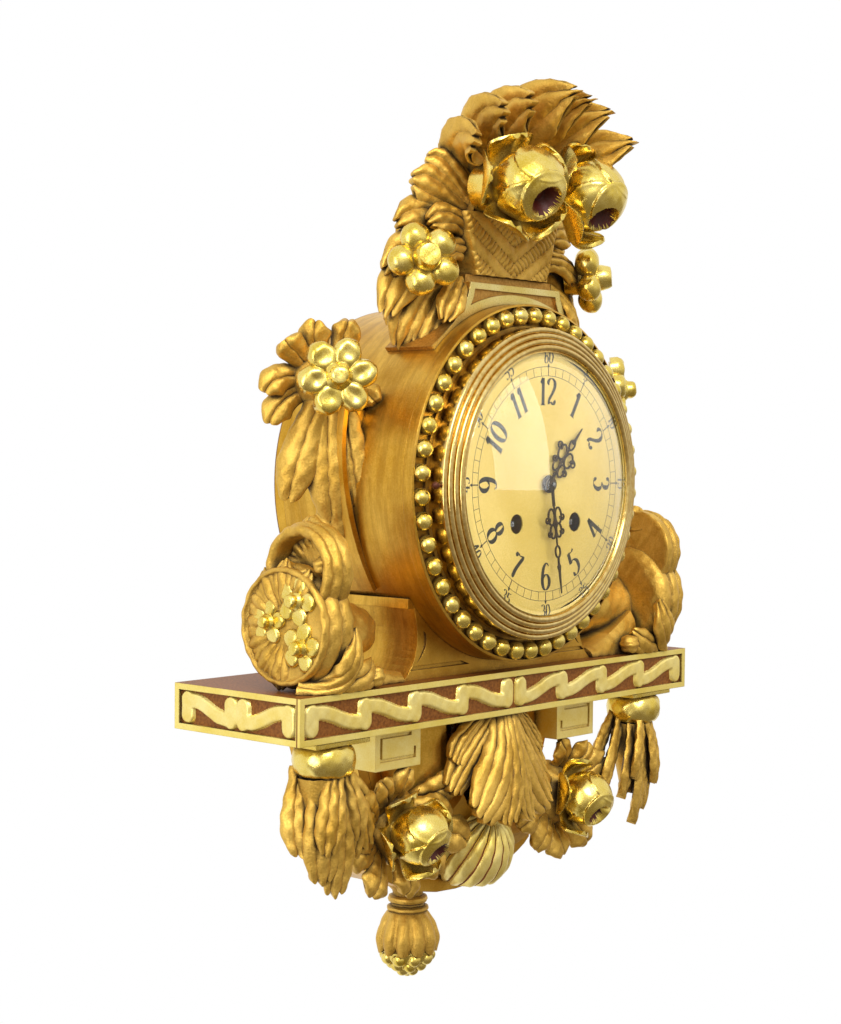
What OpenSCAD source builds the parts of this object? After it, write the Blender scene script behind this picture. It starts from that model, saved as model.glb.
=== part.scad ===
// Carved and gilded wall clock: a round case on a small shelf, with an eight-day
// striking pendulum movement inside. Millimetres. The origin is where the dial's
// axis meets the wall, +X is to the viewer's right, +Y into the wall, +Z up.

/* [Round case] */
// Outer radius of the round case
drum_r = 110.5; // [107:0.5:114]
// Thickness of the case's wall
drum_wall = 8; // [6:0.5:10]
// Depth of the case, from the wall to its front edge
drum_d = 106; // [104:0.5:110]
// Thickness of the back board
back_t = 8; // [6:0.5:10]
// Radius of the access hole in the back board
access_r = 62; // [50:1:72]
// Thickness of the front ring
ring_t = 6; // [5:0.5:8]
// Radius of the row of beads
bead_row_r = 103.3; // [102.6:0.1:104]
// Diameter of one bead
bead_d = 11; // [9:0.5:12]
// Number of beads
bead_n = 46; // [40:1:48]

/* [Shelf and base] */
// Width of the shelf
shelf_w = 380; // [370:1:400]
// Depth of the shelf, from the wall
shelf_d = 103.5; // [101:0.5:110]
// Thickness of the shelf
shelf_t = 27; // [24:0.5:34]
// Width of the flat border round the carved frieze
frieze_border = 3.6; // [2.5:0.1:5]
// Depth of the frieze's ground
frieze_deep = 2.4; // [1.5:0.1:4]
// Wood between the round case and the shelf
base_rise = 6.5; // [4:0.5:12]
// Width of the waisted base at the shelf
base_w = 185; // [178:1:190]
// Depth of the waisted base, from the wall
base_d = 92; // [86:0.5:100]
// Height of the base's ledge above the shelf
ledge_h = 49; // [44:1:54]

/* [Corbel] */
// Width of the corbel under the shelf
corbel_w = 208; // [200:1:214]
// Height of the corbel at its middle
corbel_h = 118; // [110:1:126]
// Depth of the corbel's sides, from the wall
corbel_d = 56; // [52:0.5:60]
// How far the bowed front stands in front of the corbel
belly_out = 30; // [24:0.5:32]
// Thickness of the corbel's walls
corbel_wall = 8; // [6:0.5:10]
// Diameter of the finial's body
finial_d = 47; // [38:1:48]
// Distance of the finial's axis from the wall
finial_y = 15; // [12:0.5:20]

/* [Dial and door] */
// Radius of the dial
dial_r = 86; // [84:0.5:86.5]
// Thickness of the dial plate
dial_t = 0.8; // [0.6:0.1:1.2]
// Distance of the dial's face from the wall
dial_d = 125; // [124.5:0.1:126]
// Outer radius of the bezel
bezel_r = 96; // [95:0.5:96.3]
// Radius of the clear glass
sight_r = 80.5; // [78:0.5:81]
// Height of the domed glass above its rim
dome_h = 17; // [15.5:0.5:20]
// Thickness of the glass
glass_t = 2; // [1.6:0.1:2.2]
// Sideways distance of a winding hole from the dial's centre
wind_x = 29; // [28.5:0.1:30]
// Distance of a winding hole below the dial's centre
wind_z = 23.9; // [23:0.1:26]
// Radius of a winding hole
wind_r = 6; // [5:0.1:6.5]

/* [Movement] */
// Clear distance between the movement's plates
plate_gap = 42.4; // [42:0.1:44]
// Thickness of each movement plate
plate_t = 1.6; // [1.4:0.1:1.8]
// Running clearance of a pivot in its hole, on the radius
run = 0.05; // [0.03:0.01:0.08]
// Length of the pendulum, from its suspension to the bob's centre
pendulum_l = 236; // [226:1:240]
// Diameter of the pendulum's bob
bob_d = 40; // [30:1:42]
// Diameter of the gong's wire
gong_wire = 2.6; // [2:0.1:3.2]

/* [Hanging] */
// Radius of the hanging hole
hang_r = 4; // [3:0.25:5]
// Height of the hanging hole above the dial's axis
hang_z = 84; // [80:0.5:90]
// Thickness of the hanging plate
hang_t = 2; // [1.5:0.1:3]

/* [Carving] */
// Thickness of a carved leaf
leaf_t = 7; // [5:0.5:9]
// Diameter of a large rose
rose_d = 46; // [40:1:50]
// Thickness of the carved crest, from front to back
crest_t = 38; // [32:1:44]
// Rings along a leaf
leaf_rings = 7; // [6:1:9]
// Steps across a leaf
leaf_steps = 4; // [2:2:6]

/* [Hidden] */

$fn = 96;
big = 1000;

shelf_z = -(drum_r + base_rise);
shelf_low = shelf_z - shelf_t;
corbel_low = shelf_low - corbel_h;
drum_in = drum_r - drum_wall;
ring_front = drum_d + ring_t;
bead_r = bead_d / 2;
bead_floor = ring_front - 1.6;
bead_y = bead_floor + 0.6 * bead_r;
half_shelf = shelf_w / 2;

plate_front = ring_front - 4.4;
plate_rear = plate_front - plate_t - plate_gap;
pan_r = dial_r + 1;
arm_x = 97.4;
hinge_y = ring_front + 8.6;

// The hole that the round case sits in, with room for glue
glue = 0.1;
module drum_hole(more = 0) rod(0, 0, drum_r + glue + more, 0, big, 144);

// Places on the round case's outside, as an angle from +X
function on_drum(a, out = 0) = [(drum_r + out) * cos(a), (drum_r + out) * sin(a)];

// Copies the children to the other side of the middle plane
module both() {
    children();
    mirror([1, 0, 0]) children();
}

// Lays a drawing in X and Z, from one distance from the wall to another
module slab(near, far) {
    translate([0, -near, 0]) rotate([90, 0, 0]) linear_extrude(far - near) children();
}

// Turns a profile of radius and distance from the wall round the dial's axis
module turned(a = 360) {
    rotate([90, 0, 0]) rotate_extrude(angle = a, $fn = 144) children();
}

// A round rod along the dial's axis direction
module rod(x, z, r, near, far, sides = 48) {
    translate([x, -near, z]) rotate([90, 0, 0]) cylinder(r = r, h = far - near, $fn = sides);
}

// A point and the direction on a three-point curve
function bend(p, t) = (1 - t) * (1 - t) * p[0] + 2 * t * (1 - t) * p[1] + t * t * p[2];
function bend_dir(p, t) = (1 - t) * (p[1] - p[0]) + t * (p[2] - p[1]);
function unit(v) = v / norm(v);
function square_to(f, d) = unit(f - (f * d) * d);

// A leaf's width along its length, as a share of its widest place
function leaf_form(t, root) =
    max(0.1, root * pow(1 - t, 2) + (1 - root * pow(1 - t, 2)) * pow(sin(180 * pow(t, 0.75)), 0.7));

function leaf_ring(p, t, face, w, th, cup, root) =
    let (
        d = unit(bend_dir(p, t)),
        n = square_to(face, d),
        s = cross(d, n),
        half = w / 2 * leaf_form(t, root),
        top = [for (j = [0 : leaf_steps])
            let (u = 2 * j / leaf_steps - 1)
            bend(p, t) + s * half * u + n * cup * half * (1 - u * u)],
        low = [for (j = [0 : leaf_steps])
            let (k = leaf_steps - j, u = 2 * k / leaf_steps - 1)
            top[k] - n * th * (0.35 + 0.65 * (1 - u * u)) * (0.4 + 0.6 * leaf_form(t, root))]
    ) concat(top, low);

// One carved leaf, petal or feather along a three-point curve, facing one way
module leaf(p, face, w, th = leaf_t, cup = 0.3, root = 0.5) {
    n = leaf_rings;
    m = 2 * leaf_steps + 2;
    pts = [for (i = [0 : n]) each leaf_ring(p, i / n, face, w, th, cup, root)];
    sides = [for (i = [0 : n - 1], j = [0 : m - 1])
        let (a = i * m + j, b = i * m + (j + 1) % m)
        each [[a, a + m, b + m], [a, b + m, b]]];
    ends = [[for (j = [0 : m - 1]) j], [for (j = [0 : m - 1]) n * m + m - 1 - j]];
    polyhedron(pts, concat(sides, ends));
}

// Leaves given as [start, control point, tip, width], moved to a place. They are drawn
// for a round case of 110.5 mm radius, and grow with it
carve = drum_r / 110.5;
module leaves(list, at, face, th = leaf_t, cup = 0.3, root = 0.5)
    for (l = list) leaf([at + carve * l[0], at + carve * l[1], at + carve * l[2]], face,
        carve * l[3], th, cup, root);

// A rose: a ball with a dark hole in front, and petals standing round it
module rose(at, d, petals, back) {
    r = d / 2;
    difference() {
        translate(at) sphere(r = r, $fn = 40);
        translate(at + [0.15 * r, -r, -0.5 * r]) sphere(r = 0.42 * r, $fn = 24);
    }
    translate(at) rotate([-90, 0, 0]) cylinder(r = 0.6 * r, h = back, $fn = 40);
    for (k = [0 : petals - 1]) {
        a = 360 * k / petals + 18;
        out = [cos(a), 0, sin(a)];
        leaf([at + 0.35 * r * out + [0, 0.7 * r, 0], at + 1.35 * r * out + [0, 0.75 * r, 0],
            at + 1.28 * r * out - [0, 0.1 * r, 0]], [0, -1, 0], 1.15 * r, 2.6, 0.15, 0.8);
    }
}

// A five-petalled flower of rounded petals round a button, facing along -Y
module flower(r, th) {
    for (k = [0 : 4]) rotate([0, 72 * k + 18, 0]) translate([0.62 * r, 0, 0]) {
        intersection() {
            sphere(r = 0.42 * r, $fn = 28);
            translate([-r, -0.3 * r, -r]) cube([2 * r, 0.6 * r, 2 * r]);
        }
    }
    rotate([90, 0, 0]) cylinder(r = 0.42 * r, h = 0.34 * r, $fn = 40);
    translate([0, -0.34 * r, 0]) sphere(r = 0.25 * r, $fn = 28);
    rotate([-90, 0, 0]) cylinder(r = 0.5 * r, h = th, $fn = 40);
}

// Teeth as [radius, angle] corners: a thin tapered tooth that runs freely in mesh
module gear_form(n, m, turn = 0, up = 0.85, down = 1.15, share = 0.21) {
    pr = n * m / 2;
    pitch = 360 / n;
    polygon([for (i = [0 : n - 1]) each let (a = turn + i * pitch) [
        (pr - down * m) * [cos(a - 1.25 * share * pitch), sin(a - 1.25 * share * pitch)],
        pr * [cos(a - share * pitch), sin(a - share * pitch)],
        (pr + up * m) * [cos(a - 0.4 * share * pitch), sin(a - 0.4 * share * pitch)],
        (pr + up * m) * [cos(a + 0.4 * share * pitch), sin(a + 0.4 * share * pitch)],
        pr * [cos(a + share * pitch), sin(a + share * pitch)],
        (pr - down * m) * [cos(a + 1.25 * share * pitch), sin(a + 1.25 * share * pitch)]]]);
}

// A wheel with its teeth, rim and crossings, between two distances from the wall
module wheel(x, z, n, m, turn, near, far, hub, arms = 5) {
    rim = n * m / 2 - 1.15 * m - 1.6;
    translate([x, 0, z]) slab(near, far) {
        difference() {
            gear_form(n, m, turn);
            circle(r = rim);
        }
        circle(r = hub, $fn = 48);
        for (k = [0 : arms - 1]) rotate(360 * k / arms + 20)
            translate([0, -0.8]) square([rim + 0.6, 1.6]);
    }
}

module pinion(x, z, n, m, turn, near, far)
    translate([x, 0, z]) slab(near, far) gear_form(n, m, turn);

// The round case: an open wooden tube with a slot for the pendulum at its foot
module drum_case() {
    color("goldenrod") difference() {
        turned() translate([drum_in, back_t]) square([drum_wall, drum_d - back_t]);
        translate([-slot_w / 2, -slot_far, -drum_r - 1])
            cube([slot_w, slot_far - slot_near, drum_wall + 14]);
    }
}

// The turned front ring, with the channel that the beads stand in
ring_in = 90;
module front_ring() {
    color("saddlebrown") turned() polygon([
        [ring_in, drum_d], [drum_r, drum_d], [drum_r, ring_front + 1],
        [drum_r - 1.4, ring_front + 1.6], [bead_row_r + bead_r + 0.2, ring_front + 0.6],
        [bead_row_r + bead_r, bead_floor], [arm_x + 0.2, bead_floor],
        [arm_x, ring_front], [ring_in, ring_front]]);
}

module bead() {
    r = bead_r - 0.15;
    rise = bead_y - bead_floor;
    foot_angle = asin(rise / r);
    rotate([90, 0, 0]) rotate_extrude($fn = 32) polygon(concat([[0, 0]],
        [for (i = [0 : 6]) let (a = -foot_angle + (90 + foot_angle) * i / 6)
            [r * cos(a), rise + r * sin(a)]]));
}

module beads() {
    color("gold") for (k = [0 : bead_n - 1]) {
        a = 360 * (k + 0.5) / bead_n;
        translate([bead_row_r * cos(a), -bead_floor, bead_row_r * sin(a)]) bead();
    }
}

// The back: a wooden ring, a sheet cover let into it and the hanging plate
cover_r = access_r + 8;
cover_t = 1;
screw_n = 4;
screw_ring = access_r + 4;
hang_w = 44;
hang_h = 18;
module back_board() {
    color("peru") difference() {
        rod(0, 0, drum_r, 0, back_t);
        rod(0, 0, access_r, -1, back_t + 1);
        rod(0, 0, cover_r + 0.3, -1, cover_t);
        for (k = [0 : screw_n - 1]) rod(screw_ring * cos(90 * k + 45), screw_ring * sin(90 * k + 45),
            1.2, -1, back_t - 1);
        translate([-hang_w / 2 - 0.2, -hang_t, hang_z - hang_h / 2])
            cube([hang_w + 0.4, hang_t + 1, hang_h + 0.2]);
        rod(0, hang_z, hang_r + 3, -1, back_t - 2);
        for (s = [-1, 1]) rod(s * 16, hang_z, 1.5, -1, back_t - 1);
    }
}

module back_cover() {
    color("dimgray") difference() {
        rod(0, 0, cover_r, 0, cover_t);
        for (k = [0 : screw_n - 1]) rod(screw_ring * cos(90 * k + 45), screw_ring * sin(90 * k + 45),
            1.6, -1, cover_t + 1);
    }
}

// A countersunk screw in the back, its head flush with the wall side
module back_screw(x, z, sheet, shank) {
    rod(x, z, shank - 0.1, sheet, back_t - 2);
    rod(x, z, shank + 0.2, 0.05, sheet);
}

module cover_screws() {
    color("gray") for (k = [0 : screw_n - 1])
        back_screw(screw_ring * cos(90 * k + 45), screw_ring * sin(90 * k + 45), cover_t, 1.2);
}

module hanger_plate() {
    color("silver") difference() {
        translate([-hang_w / 2, -hang_t, hang_z - hang_h / 2 + 0.1]) cube([hang_w, hang_t, hang_h - 0.2]);
        rod(0, hang_z, hang_r, -1, hang_t + 1);
        for (s = [-1, 1]) rod(s * 16, hang_z, 2, -1, hang_t + 1);
    }
}

module hanger_screws() {
    color("gray") for (s = [-1, 1]) back_screw(s * 16, hang_z, hang_t, 1.5);
}

// The waisted base between the round case and the shelf
ledge_w = 2 * sqrt(pow(drum_r, 2) - pow(shelf_z + ledge_h, 2)) + 4;
waist_in = 7.5;
ledge_t = 6;
slot_near = 42;
slot_far = 60;
slot_w = 36;
function base_side(t) =
    let (low = base_w / 2, top = ledge_w / 2 - 6)
    low + (top - low) * t - waist_in * sin(180 * pow(t, 0.8));

module base_outline(inset = 0) {
    steps = 10;
    curve_h = ledge_h - ledge_t - 2 * inset;
    right = [for (i = [0 : steps])
        [base_side(i / steps) - inset, shelf_z + inset + curve_h * i / steps]];
    polygon(concat(right, [for (i = [0 : steps]) [-right[steps - i][0], right[steps - i][1]]]));
}

module base_block() {
    color("darkgoldenrod") difference() {
        union() {
            slab(back_t, base_d) base_outline();
            slab(back_t, base_d) translate([-ledge_w / 2, shelf_z + ledge_h - ledge_t])
                square([ledge_w, ledge_t]);
        }
        drum_hole();
        slab(back_t + 12, base_d - 14) base_outline(12);
        translate([-slot_w / 2, -slot_far, shelf_z - 1])
            cube([slot_w, slot_far - slot_near, base_rise + 3]);
        for (s = [0, 1]) mirror([s, 0, 0]) slab(base_d - 1.5, base_d + 1) spandrel_groove();
    }
}

// The sunk line round the three-cornered panel beside the beads
module spandrel_groove() {
    difference() {
        intersection() {
            base_outline(6);
            translate([0, -big]) square(big);
            difference() {
                square(2 * big, center = true);
                circle(r = drum_r + 5);
            }
        }
        base_outline(8.4);
    }
}

// The shelf, with a sunk frieze on its front and ends
frieze_h = shelf_t - 2 * frieze_border;
module shelf() {
    color("darkgoldenrod") difference() {
        translate([-half_shelf, -shelf_d, shelf_low]) cube([shelf_w, shelf_d, shelf_t]);
        slab(shelf_d - frieze_deep, shelf_d + 1)
            translate([-half_shelf + frieze_border, shelf_low + frieze_border])
                square([shelf_w - 2 * frieze_border, frieze_h]);
        for (s = [-1, 1]) translate([s * (half_shelf - frieze_deep / 2 + 0.5),
            -shelf_d / 2, shelf_low + shelf_t / 2])
            cube([frieze_deep + 1, shelf_d - 2 * frieze_border, frieze_h], center = true);
        translate([-slot_w / 2, -slot_far, shelf_low - 1])
            cube([slot_w, slot_far - slot_near, shelf_t + 2]);
    }
}

// A running wave: upright strokes with round ends, joined by slanting strokes
wave_n = 4;
fret_w = 3;
module stroke(a, b, r) {
    d = b - a;
    translate(a) circle(r = r, $fn = 24);
    translate(b) circle(r = r, $fn = 24);
    translate(a) rotate(atan2(d[1], d[0])) translate([0, -r]) square([norm(d), 2 * r]);
}

module wave(waves, pitch, thick) {
    amp = frieze_h / 2 - fret_w - 0.2;
    linear_extrude(thick) for (k = [0 : waves - 1]) {
        stroke([k * pitch, -amp], [k * pitch, amp], fret_w);
        if (k < waves - 1) stroke([k * pitch, amp], [(k + 1) * pitch, -amp], 0.8 * fret_w);
    }
}

module shelf_fret() {
    mid_z = shelf_low + shelf_t / 2;
    run_w = half_shelf - frieze_border - 2.4 * fret_w;
    end_w = shelf_d / 2 - frieze_border - 2.4 * fret_w;
    thick = frieze_deep - 0.2;
    color("gold") {
        both() translate([-run_w - 1.2 * fret_w, -shelf_d + frieze_deep, mid_z])
            rotate([90, 0, 0]) wave(wave_n + 1, run_w / wave_n, thick);
        both() for (e = [0, 1]) translate([-half_shelf + frieze_deep, -shelf_d / 2, mid_z])
            rotate([90, 0, -90]) mirror([e, 0, 0])
                translate([-end_w - 1.2 * fret_w, 0]) wave(2, end_w, thick);
    }
}

// The corbel: a waisted hollow bracket on the wall, with a bowed front on it
belly_w = 0.81 * corbel_w;
foot_share = 0.73;
belly_h = corbel_h - 10;
module waisted(w, h, pull, inset = 0) {
    side_h = 0.81 * h;
    sag = 0.17 * h;
    n = 12;
    half = w / 2 - inset;
    foot = foot_share * half;
    right = [for (i = [0 : n])
        [half - (half - foot) * i / n - pull * sin(180 * i / n), shelf_low - (side_h - inset) * i / n]];
    low = [for (i = [1 : n - 1]) let (u = cos(180 * i / n))
        [0.97 * foot * u, shelf_low - h + inset + sag * pow(abs(u), 2.2)]];
    polygon(concat(right, low, [for (i = [0 : n]) [-right[n - i][0], right[n - i][1]]]));
}

module belly_plan(inset = 0) {
    half = belly_w / 2 - inset;
    n = 12;
    polygon(concat([for (i = [0 : n]) let (u = cos(180 * i / n))
        [half * u, -corbel_d - (belly_out - inset) * (1 - u * u)]], [[-half, -corbel_d], [half, -corbel_d]]));
}

function belly_front(t) = belly_out * (1 - pow(t, 3));
module belly_side(inset = 0) {
    n = 10;
    rotate([90, 0, 90]) linear_extrude(belly_w, center = true) polygon(concat(
        [[-corbel_d + 1, shelf_low + 1], [-corbel_d - belly_out + inset, shelf_low + 1]],
        [for (i = [0 : n]) [-corbel_d - belly_front(i / n) + inset,
            shelf_low - (belly_h - 2 * inset) * i / n]],
        [[-corbel_d + 1, shelf_low - belly_h + 2 * inset]]));
}

module corbel() {
    color("peru") difference() {
        slab(0, corbel_d) waisted(corbel_w, corbel_h, 3);
        slab(corbel_wall, corbel_d + 1) waisted(corbel_w, corbel_h, 3, corbel_wall);
    }
}

belly_wall = 7;
aperture_w = 78;
aperture_h = 66;
module belly_solid(grow = 0) {
    intersection() {
        translate([0, 0, corbel_low]) linear_extrude(corbel_h) belly_plan(-grow);
        slab(corbel_d, corbel_d + belly_out + 1) waisted(belly_w, belly_h, 3, -grow);
        belly_side(-grow);
    }
}

module belly() {
    color("goldenrod") difference() {
        union() {
            belly_solid();
            slab(corbel_d - 6, corbel_d) difference() {
                waisted(corbel_w, corbel_h, 3, corbel_wall + 0.2);
                waisted(belly_w, belly_h, 3, 10);
            }
        }
        intersection() {
            translate([0, 0, corbel_low]) linear_extrude(corbel_h + 1) belly_plan(belly_wall);
            slab(corbel_d - 7, corbel_d + belly_out) waisted(belly_w, belly_h, 3, 8);
            belly_side(belly_wall);
        }
        slab(corbel_d, corbel_d + belly_out + 2) polygon([for (a = [0 : 15 : 180])
            [aperture_w / 2 * cos(a), shelf_low - aperture_h * sin(a)]]);
    }
}

// Small square-cut tabs with a sunk key pattern, under the shelf beside the corbel
tab_w = 40;
tab_h = 26;
tab_x = 88;
tab_near = corbel_d;
tab_far = 84.5;
module fret_tabs() {
    color("gold") both() difference() {
        translate([-tab_x - tab_w / 2, -tab_far, shelf_low - tab_h])
            cube([tab_w, tab_far - tab_near, tab_h]);
        belly_solid(glue);
        slab(tab_far - 1.6, tab_far + 1) translate([-tab_x, shelf_low - tab_h / 2]) difference() {
            square([tab_w - 8, tab_h - 10], center = true);
            square([tab_w - 12, tab_h - 14], center = true);
            translate([tab_w / 2 - 8, -1]) square([6, tab_h - 10]);
        }
    }
}

// Cushion-shaped caps under the ends of the shelf, each on a thin square plate
cap_x = 153;
cap_y = 86;
cap_r = 18.5;
cap_h = 18;
plate_h = 3.5;
cap_low = shelf_low - plate_h - cap_h;
module ring_caps() {
    color("gold") both() {
        translate([-cap_x - 22, -cap_y - 16, shelf_low - plate_h]) cube([44, 34, plate_h]);
        translate([-cap_x, -cap_y, cap_low]) rotate_extrude($fn = 64) polygon(concat([[0, 0]],
            [for (a = [-90 : 15 : 90]) [cap_r - 4 + 4 * cos(a), cap_h / 2 + cap_h / 2 * sin(a)]],
            [[0, cap_h]]));
    }
}

// Leaves that hang from the caps like folded cloth
module drapes() {
    at = [-cap_x, -cap_y, cap_low];
    color("darkgoldenrod") both() difference() {
        union() {
            leaves([
                [[-8, 8, 5], [-16, 6, -20], [-14, 2, -46], 23],
                [[-4, -2, 5], [-9, -10, -30], [-5, -4, -62], 24],
                [[0, -6, 5], [2, -14, -34], [5, -4, -71], 22],
                [[5, -2, 5], [13, -10, -26], [18, -4, -52], 21],
                [[9, 4, 5], [24, -4, -18], [36, 0, -48], 19],
                [[11, 8, 5], [29, 4, -10], [41, 4, -30], 18]], at, [-0.5, -1, 0], 12, 0.25, 0.8);
            translate(at - [0, -2, 50]) cylinder(r1 = 6, r2 = 15, h = 50, $fn = 48);
        }
        translate(at - [50, 50, 0]) cube([100, 100, 20]);
    }
}

// Festoons of leaves from the drapes to the shell in the middle
rose_x = 82.6;
rose_z = shelf_low - 65;
module garlands() {
    at = [-rose_x, -corbel_d - 4, rose_z];
    color("olive") both() difference() {
        union() {
            leaves([
                [[-14, -12, 6], [-26, -26, 16], [-40, -24, 22], 24],
                [[-14, -12, -6], [-30, -24, -14], [-42, -22, -4], 22],
                [[-8, -12, -14], [-20, -26, -28], [-24, -20, -36], 24],
                [[6, -12, -14], [10, -26, -30], [4, -22, -40], 24],
                [[12, -14, -10], [28, -30, -20], [34, -22, -32], 24],
                [[12, -14, 8], [26, -30, 12], [40, -26, 2], 24],
                [[26, -14, -4], [44, -34, -4], [56, -26, -14], 24],
                [[24, -12, 14], [36, -30, 26], [48, -26, 22], 20],
                [[2, -12, 16], [0, -26, 28], [8, -22, 38], 18]], at, [0, -1, 0], 10, 0.3, 0.7);
            translate(at + [8, -9, 0]) rotate([-90, 0, 0]) cylinder(r = 26, h = 16, $fn = 48);
            translate(at + [30, -14, -4]) rotate([0, 0, 0]) sphere(r = 15, $fn = 32);
        }
        translate([-belly_w, -corbel_d, corbel_low - 50]) cube([2 * belly_w, corbel_d, 2 * corbel_h]);
        belly_solid(glue);
    }
}

module garland_roses() {
    color("gold") both() rose([-rose_x, -corbel_d - 42, rose_z], 0.86 * rose_d, 5, 18);
}

// The double fluted leaf in the middle of the shelf's underside
module centre_leaf() {
    at = [0, -shelf_d + 8, shelf_low];
    color("darkgoldenrod") difference() {
        both() leaves([
            [[-4, 0, 4], [-8, -10, -36], [-34, -4, -62], 34],
            [[-9, 2, 4], [-26, 4, -20], [-46, 8, -46], 24],
            [[-3, -2, 4], [-3, -14, -34], [-12, -8, -68], 24]], at, [-0.3, -1, 0], 8, 0.3, 0.6);
        translate([-half_shelf, -2 * shelf_d, shelf_low]) cube([shelf_w, 2 * shelf_d, shelf_t]);
        belly_solid(glue);
    }
}

// The fluted cup under the centre leaf, with a knob on it
cup_y = corbel_d + 12;
cup_r = 28;
cup_top = shelf_low - 66;
cup_h = 46;
ribs = 16;
module shell_cup() {
    color("gold") difference() {
        union() {
            translate([0, -cup_y, cup_top - cup_h]) rotate_extrude($fn = 64) polygon(concat([[0, 0]],
                [for (a = [-80 : 10 : 70]) [cup_r * cos(a), cup_h * (0.52 + 0.5 * sin(a))]],
                [[0, cup_h]]));
            translate([0, -cup_y - 8, cup_top - 2]) sphere(r = 7.5, $fn = 32);
        }
        for (k = [0 : ribs - 1]) translate([0, -cup_y, cup_top - 0.48 * cup_h])
            rotate([0, 0, 360 * k / ribs]) translate([cup_r + 0.6, 0, 0]) cylinder(r = 1.4, h = cup_h,
                center = true, $fn = 16);
        translate([-big, -corbel_d, -big]) cube([2 * big, big, 2 * big]);
        belly_solid(glue);
    }
}

// The turned finial under the corbel: neck rings, a fluted acorn cup and a berry
finial_r = finial_d / 2;
neck_top = corbel_low;
acorn_top = neck_top - 16;
acorn_low = acorn_top - 34;
flutes = 14;

// The wall, as seen from the finial's axis
module wall_side() translate([-big, finial_y, -big]) cube([2 * big, big, 2 * big]);

module finial_cup() {
    color("darkgoldenrod") translate([0, -finial_y, 0]) difference() {
        rotate_extrude($fn = 72) polygon(concat(
            [[0, neck_top], [19, neck_top], [16, neck_top - 4], [11, neck_top - 6]],
            [for (a = [60 : -30 : -60]) [9 + 3 * cos(a), neck_top - 9 + 3 * sin(a)]],
            [[12, acorn_top + 1]],
            [for (a = [60 : -12 : -24]) [finial_r * cos(a), acorn_top - 18 + 20 * sin(a)]],
            [[0.82 * finial_r, acorn_low + 2], [0, acorn_low + 2]]));
        for (k = [0 : flutes - 1]) rotate([0, 0, 360 * (k + 0.5) / flutes])
            translate([finial_r + 0.8, 0, acorn_top - 20]) cylinder(r = 2.2, h = 30, center = true, $fn = 16);
        wall_side();
    }
}

module finial_berry() {
    berry = 5.5;
    color("gold") translate([0, -finial_y, acorn_low + 2]) difference() {
        union() {
            rotate_extrude($fn = 48)
                polygon([[0, 0], [0.76 * finial_r, 0], [0.62 * finial_r, -4], [5, -13], [0, -17]]);
            for (k = [0 : 6]) rotate([0, 0, 360 * k / 7]) translate([0.6 * finial_r, 0, -berry - 0.1])
                sphere(r = berry, $fn = 24);
            for (k = [0 : 2]) rotate([0, 0, 120 * k + 20]) translate([4.2, 0, -11]) sphere(r = 4.9, $fn = 24);
        }
        wall_side();
    }
}

// The carved block on top of the round case, with its raised frame and top bar
crest_d = 100;
crest_w = 88;
crest_top = drum_r + 11.5;
crest_near = crest_d - crest_t;
foot_a = 46;
function crest_side(t) =
    let (foot = on_drum(foot_a, 3))
    [crest_w / 2 + (foot[0] - crest_w / 2) * pow(t, 1.7), crest_top + (foot[1] - crest_top) * t];

module crest_outline(inset = 0) {
    n = 8;
    right = [for (i = [0 : n]) crest_side(i / n) - [inset, inset * (1 - i / n)]];
    foot = on_drum(foot_a, -4);
    polygon(concat(right, [[foot[0] - inset, foot[1]], [-foot[0] + inset, foot[1]]],
        [for (i = [0 : n]) [-right[n - i][0], right[n - i][1]]]));
}

bar_w = 84;
bar_t = 5;
module crest_block() {
    color("darkgoldenrod") difference() {
        union() {
            slab(crest_near, crest_d) crest_outline();
            slab(crest_near, crest_d - 6) translate([-bar_w / 2, crest_top])
                square([bar_w, bar_t]);
        }
        drum_hole();
        slab(crest_d - 1.8, crest_d + 1) difference() {
            crest_outline(4);
            circle(r = drum_r + 6);
        }
    }
}

// The flower basket on the crest, with slanting strands cut into its front
basket_z = crest_top + bar_t;
basket_h = 38;
basket_d = 99;
module basket() {
    color("peru") difference() {
        slab(crest_near, basket_d) polygon([[-35, basket_z], [35, basket_z],
            [46, basket_z + basket_h], [-46, basket_z + basket_h]]);
        slab(basket_d - 1.5, basket_d + 1) for (k = [-5 : 5]) for (s = [-1, 1])
            translate([9 * k, basket_z]) rotate(s * 32) translate([-0.7, 2]) square([1.4, basket_h + 4]);
    }
}

// The fan of feather leaves that curls forward over the roses
plume_at = [0, -92, basket_z + 53];
plume_front = 96;
module plume_back(grow = 0) slab(crest_near - grow, plume_front + grow) polygon([
    [-36 - grow, basket_z + basket_h], [36 + grow, basket_z + basket_h],
    [40 + grow, basket_z + 44], [26 + grow, basket_z + 66 + grow],
    [-26 - grow, basket_z + 66 + grow], [-40 - grow, basket_z + 44]]);

module plume() {
    color("darkgoldenrod") {
        both() leaves([[[-4, 5, 0], [-6, -8, 56], [-8, -62, 63], 27]],
            plume_at, [-0.3, -0.8, -0.6], 8, 0.1, 0.8);
        leaves([
            [[12, 6, 0], [22, -10, 48], [30, -58, 56], 26],
            [[20, 6, -4], [44, -12, 34], [57, -58, 42], 27]],
            plume_at, [0.4, -0.8, -0.6], 8, 0.1, 0.8);
        leaves([
            [[-12, 8, 0], [-24, -4, 52], [-30, -48, 42], 27],
            [[-18, 9, -2], [-46, -3, 42], [-56, -48, 36], 32],
            [[-20, 14, -5], [-56, 5, 32], [-66, -36, 18], 28]],
            plume_at, [-0.6, -0.8, -0.6], 8, 0.1, 0.8);
        plume_back();
    }
}

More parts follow.
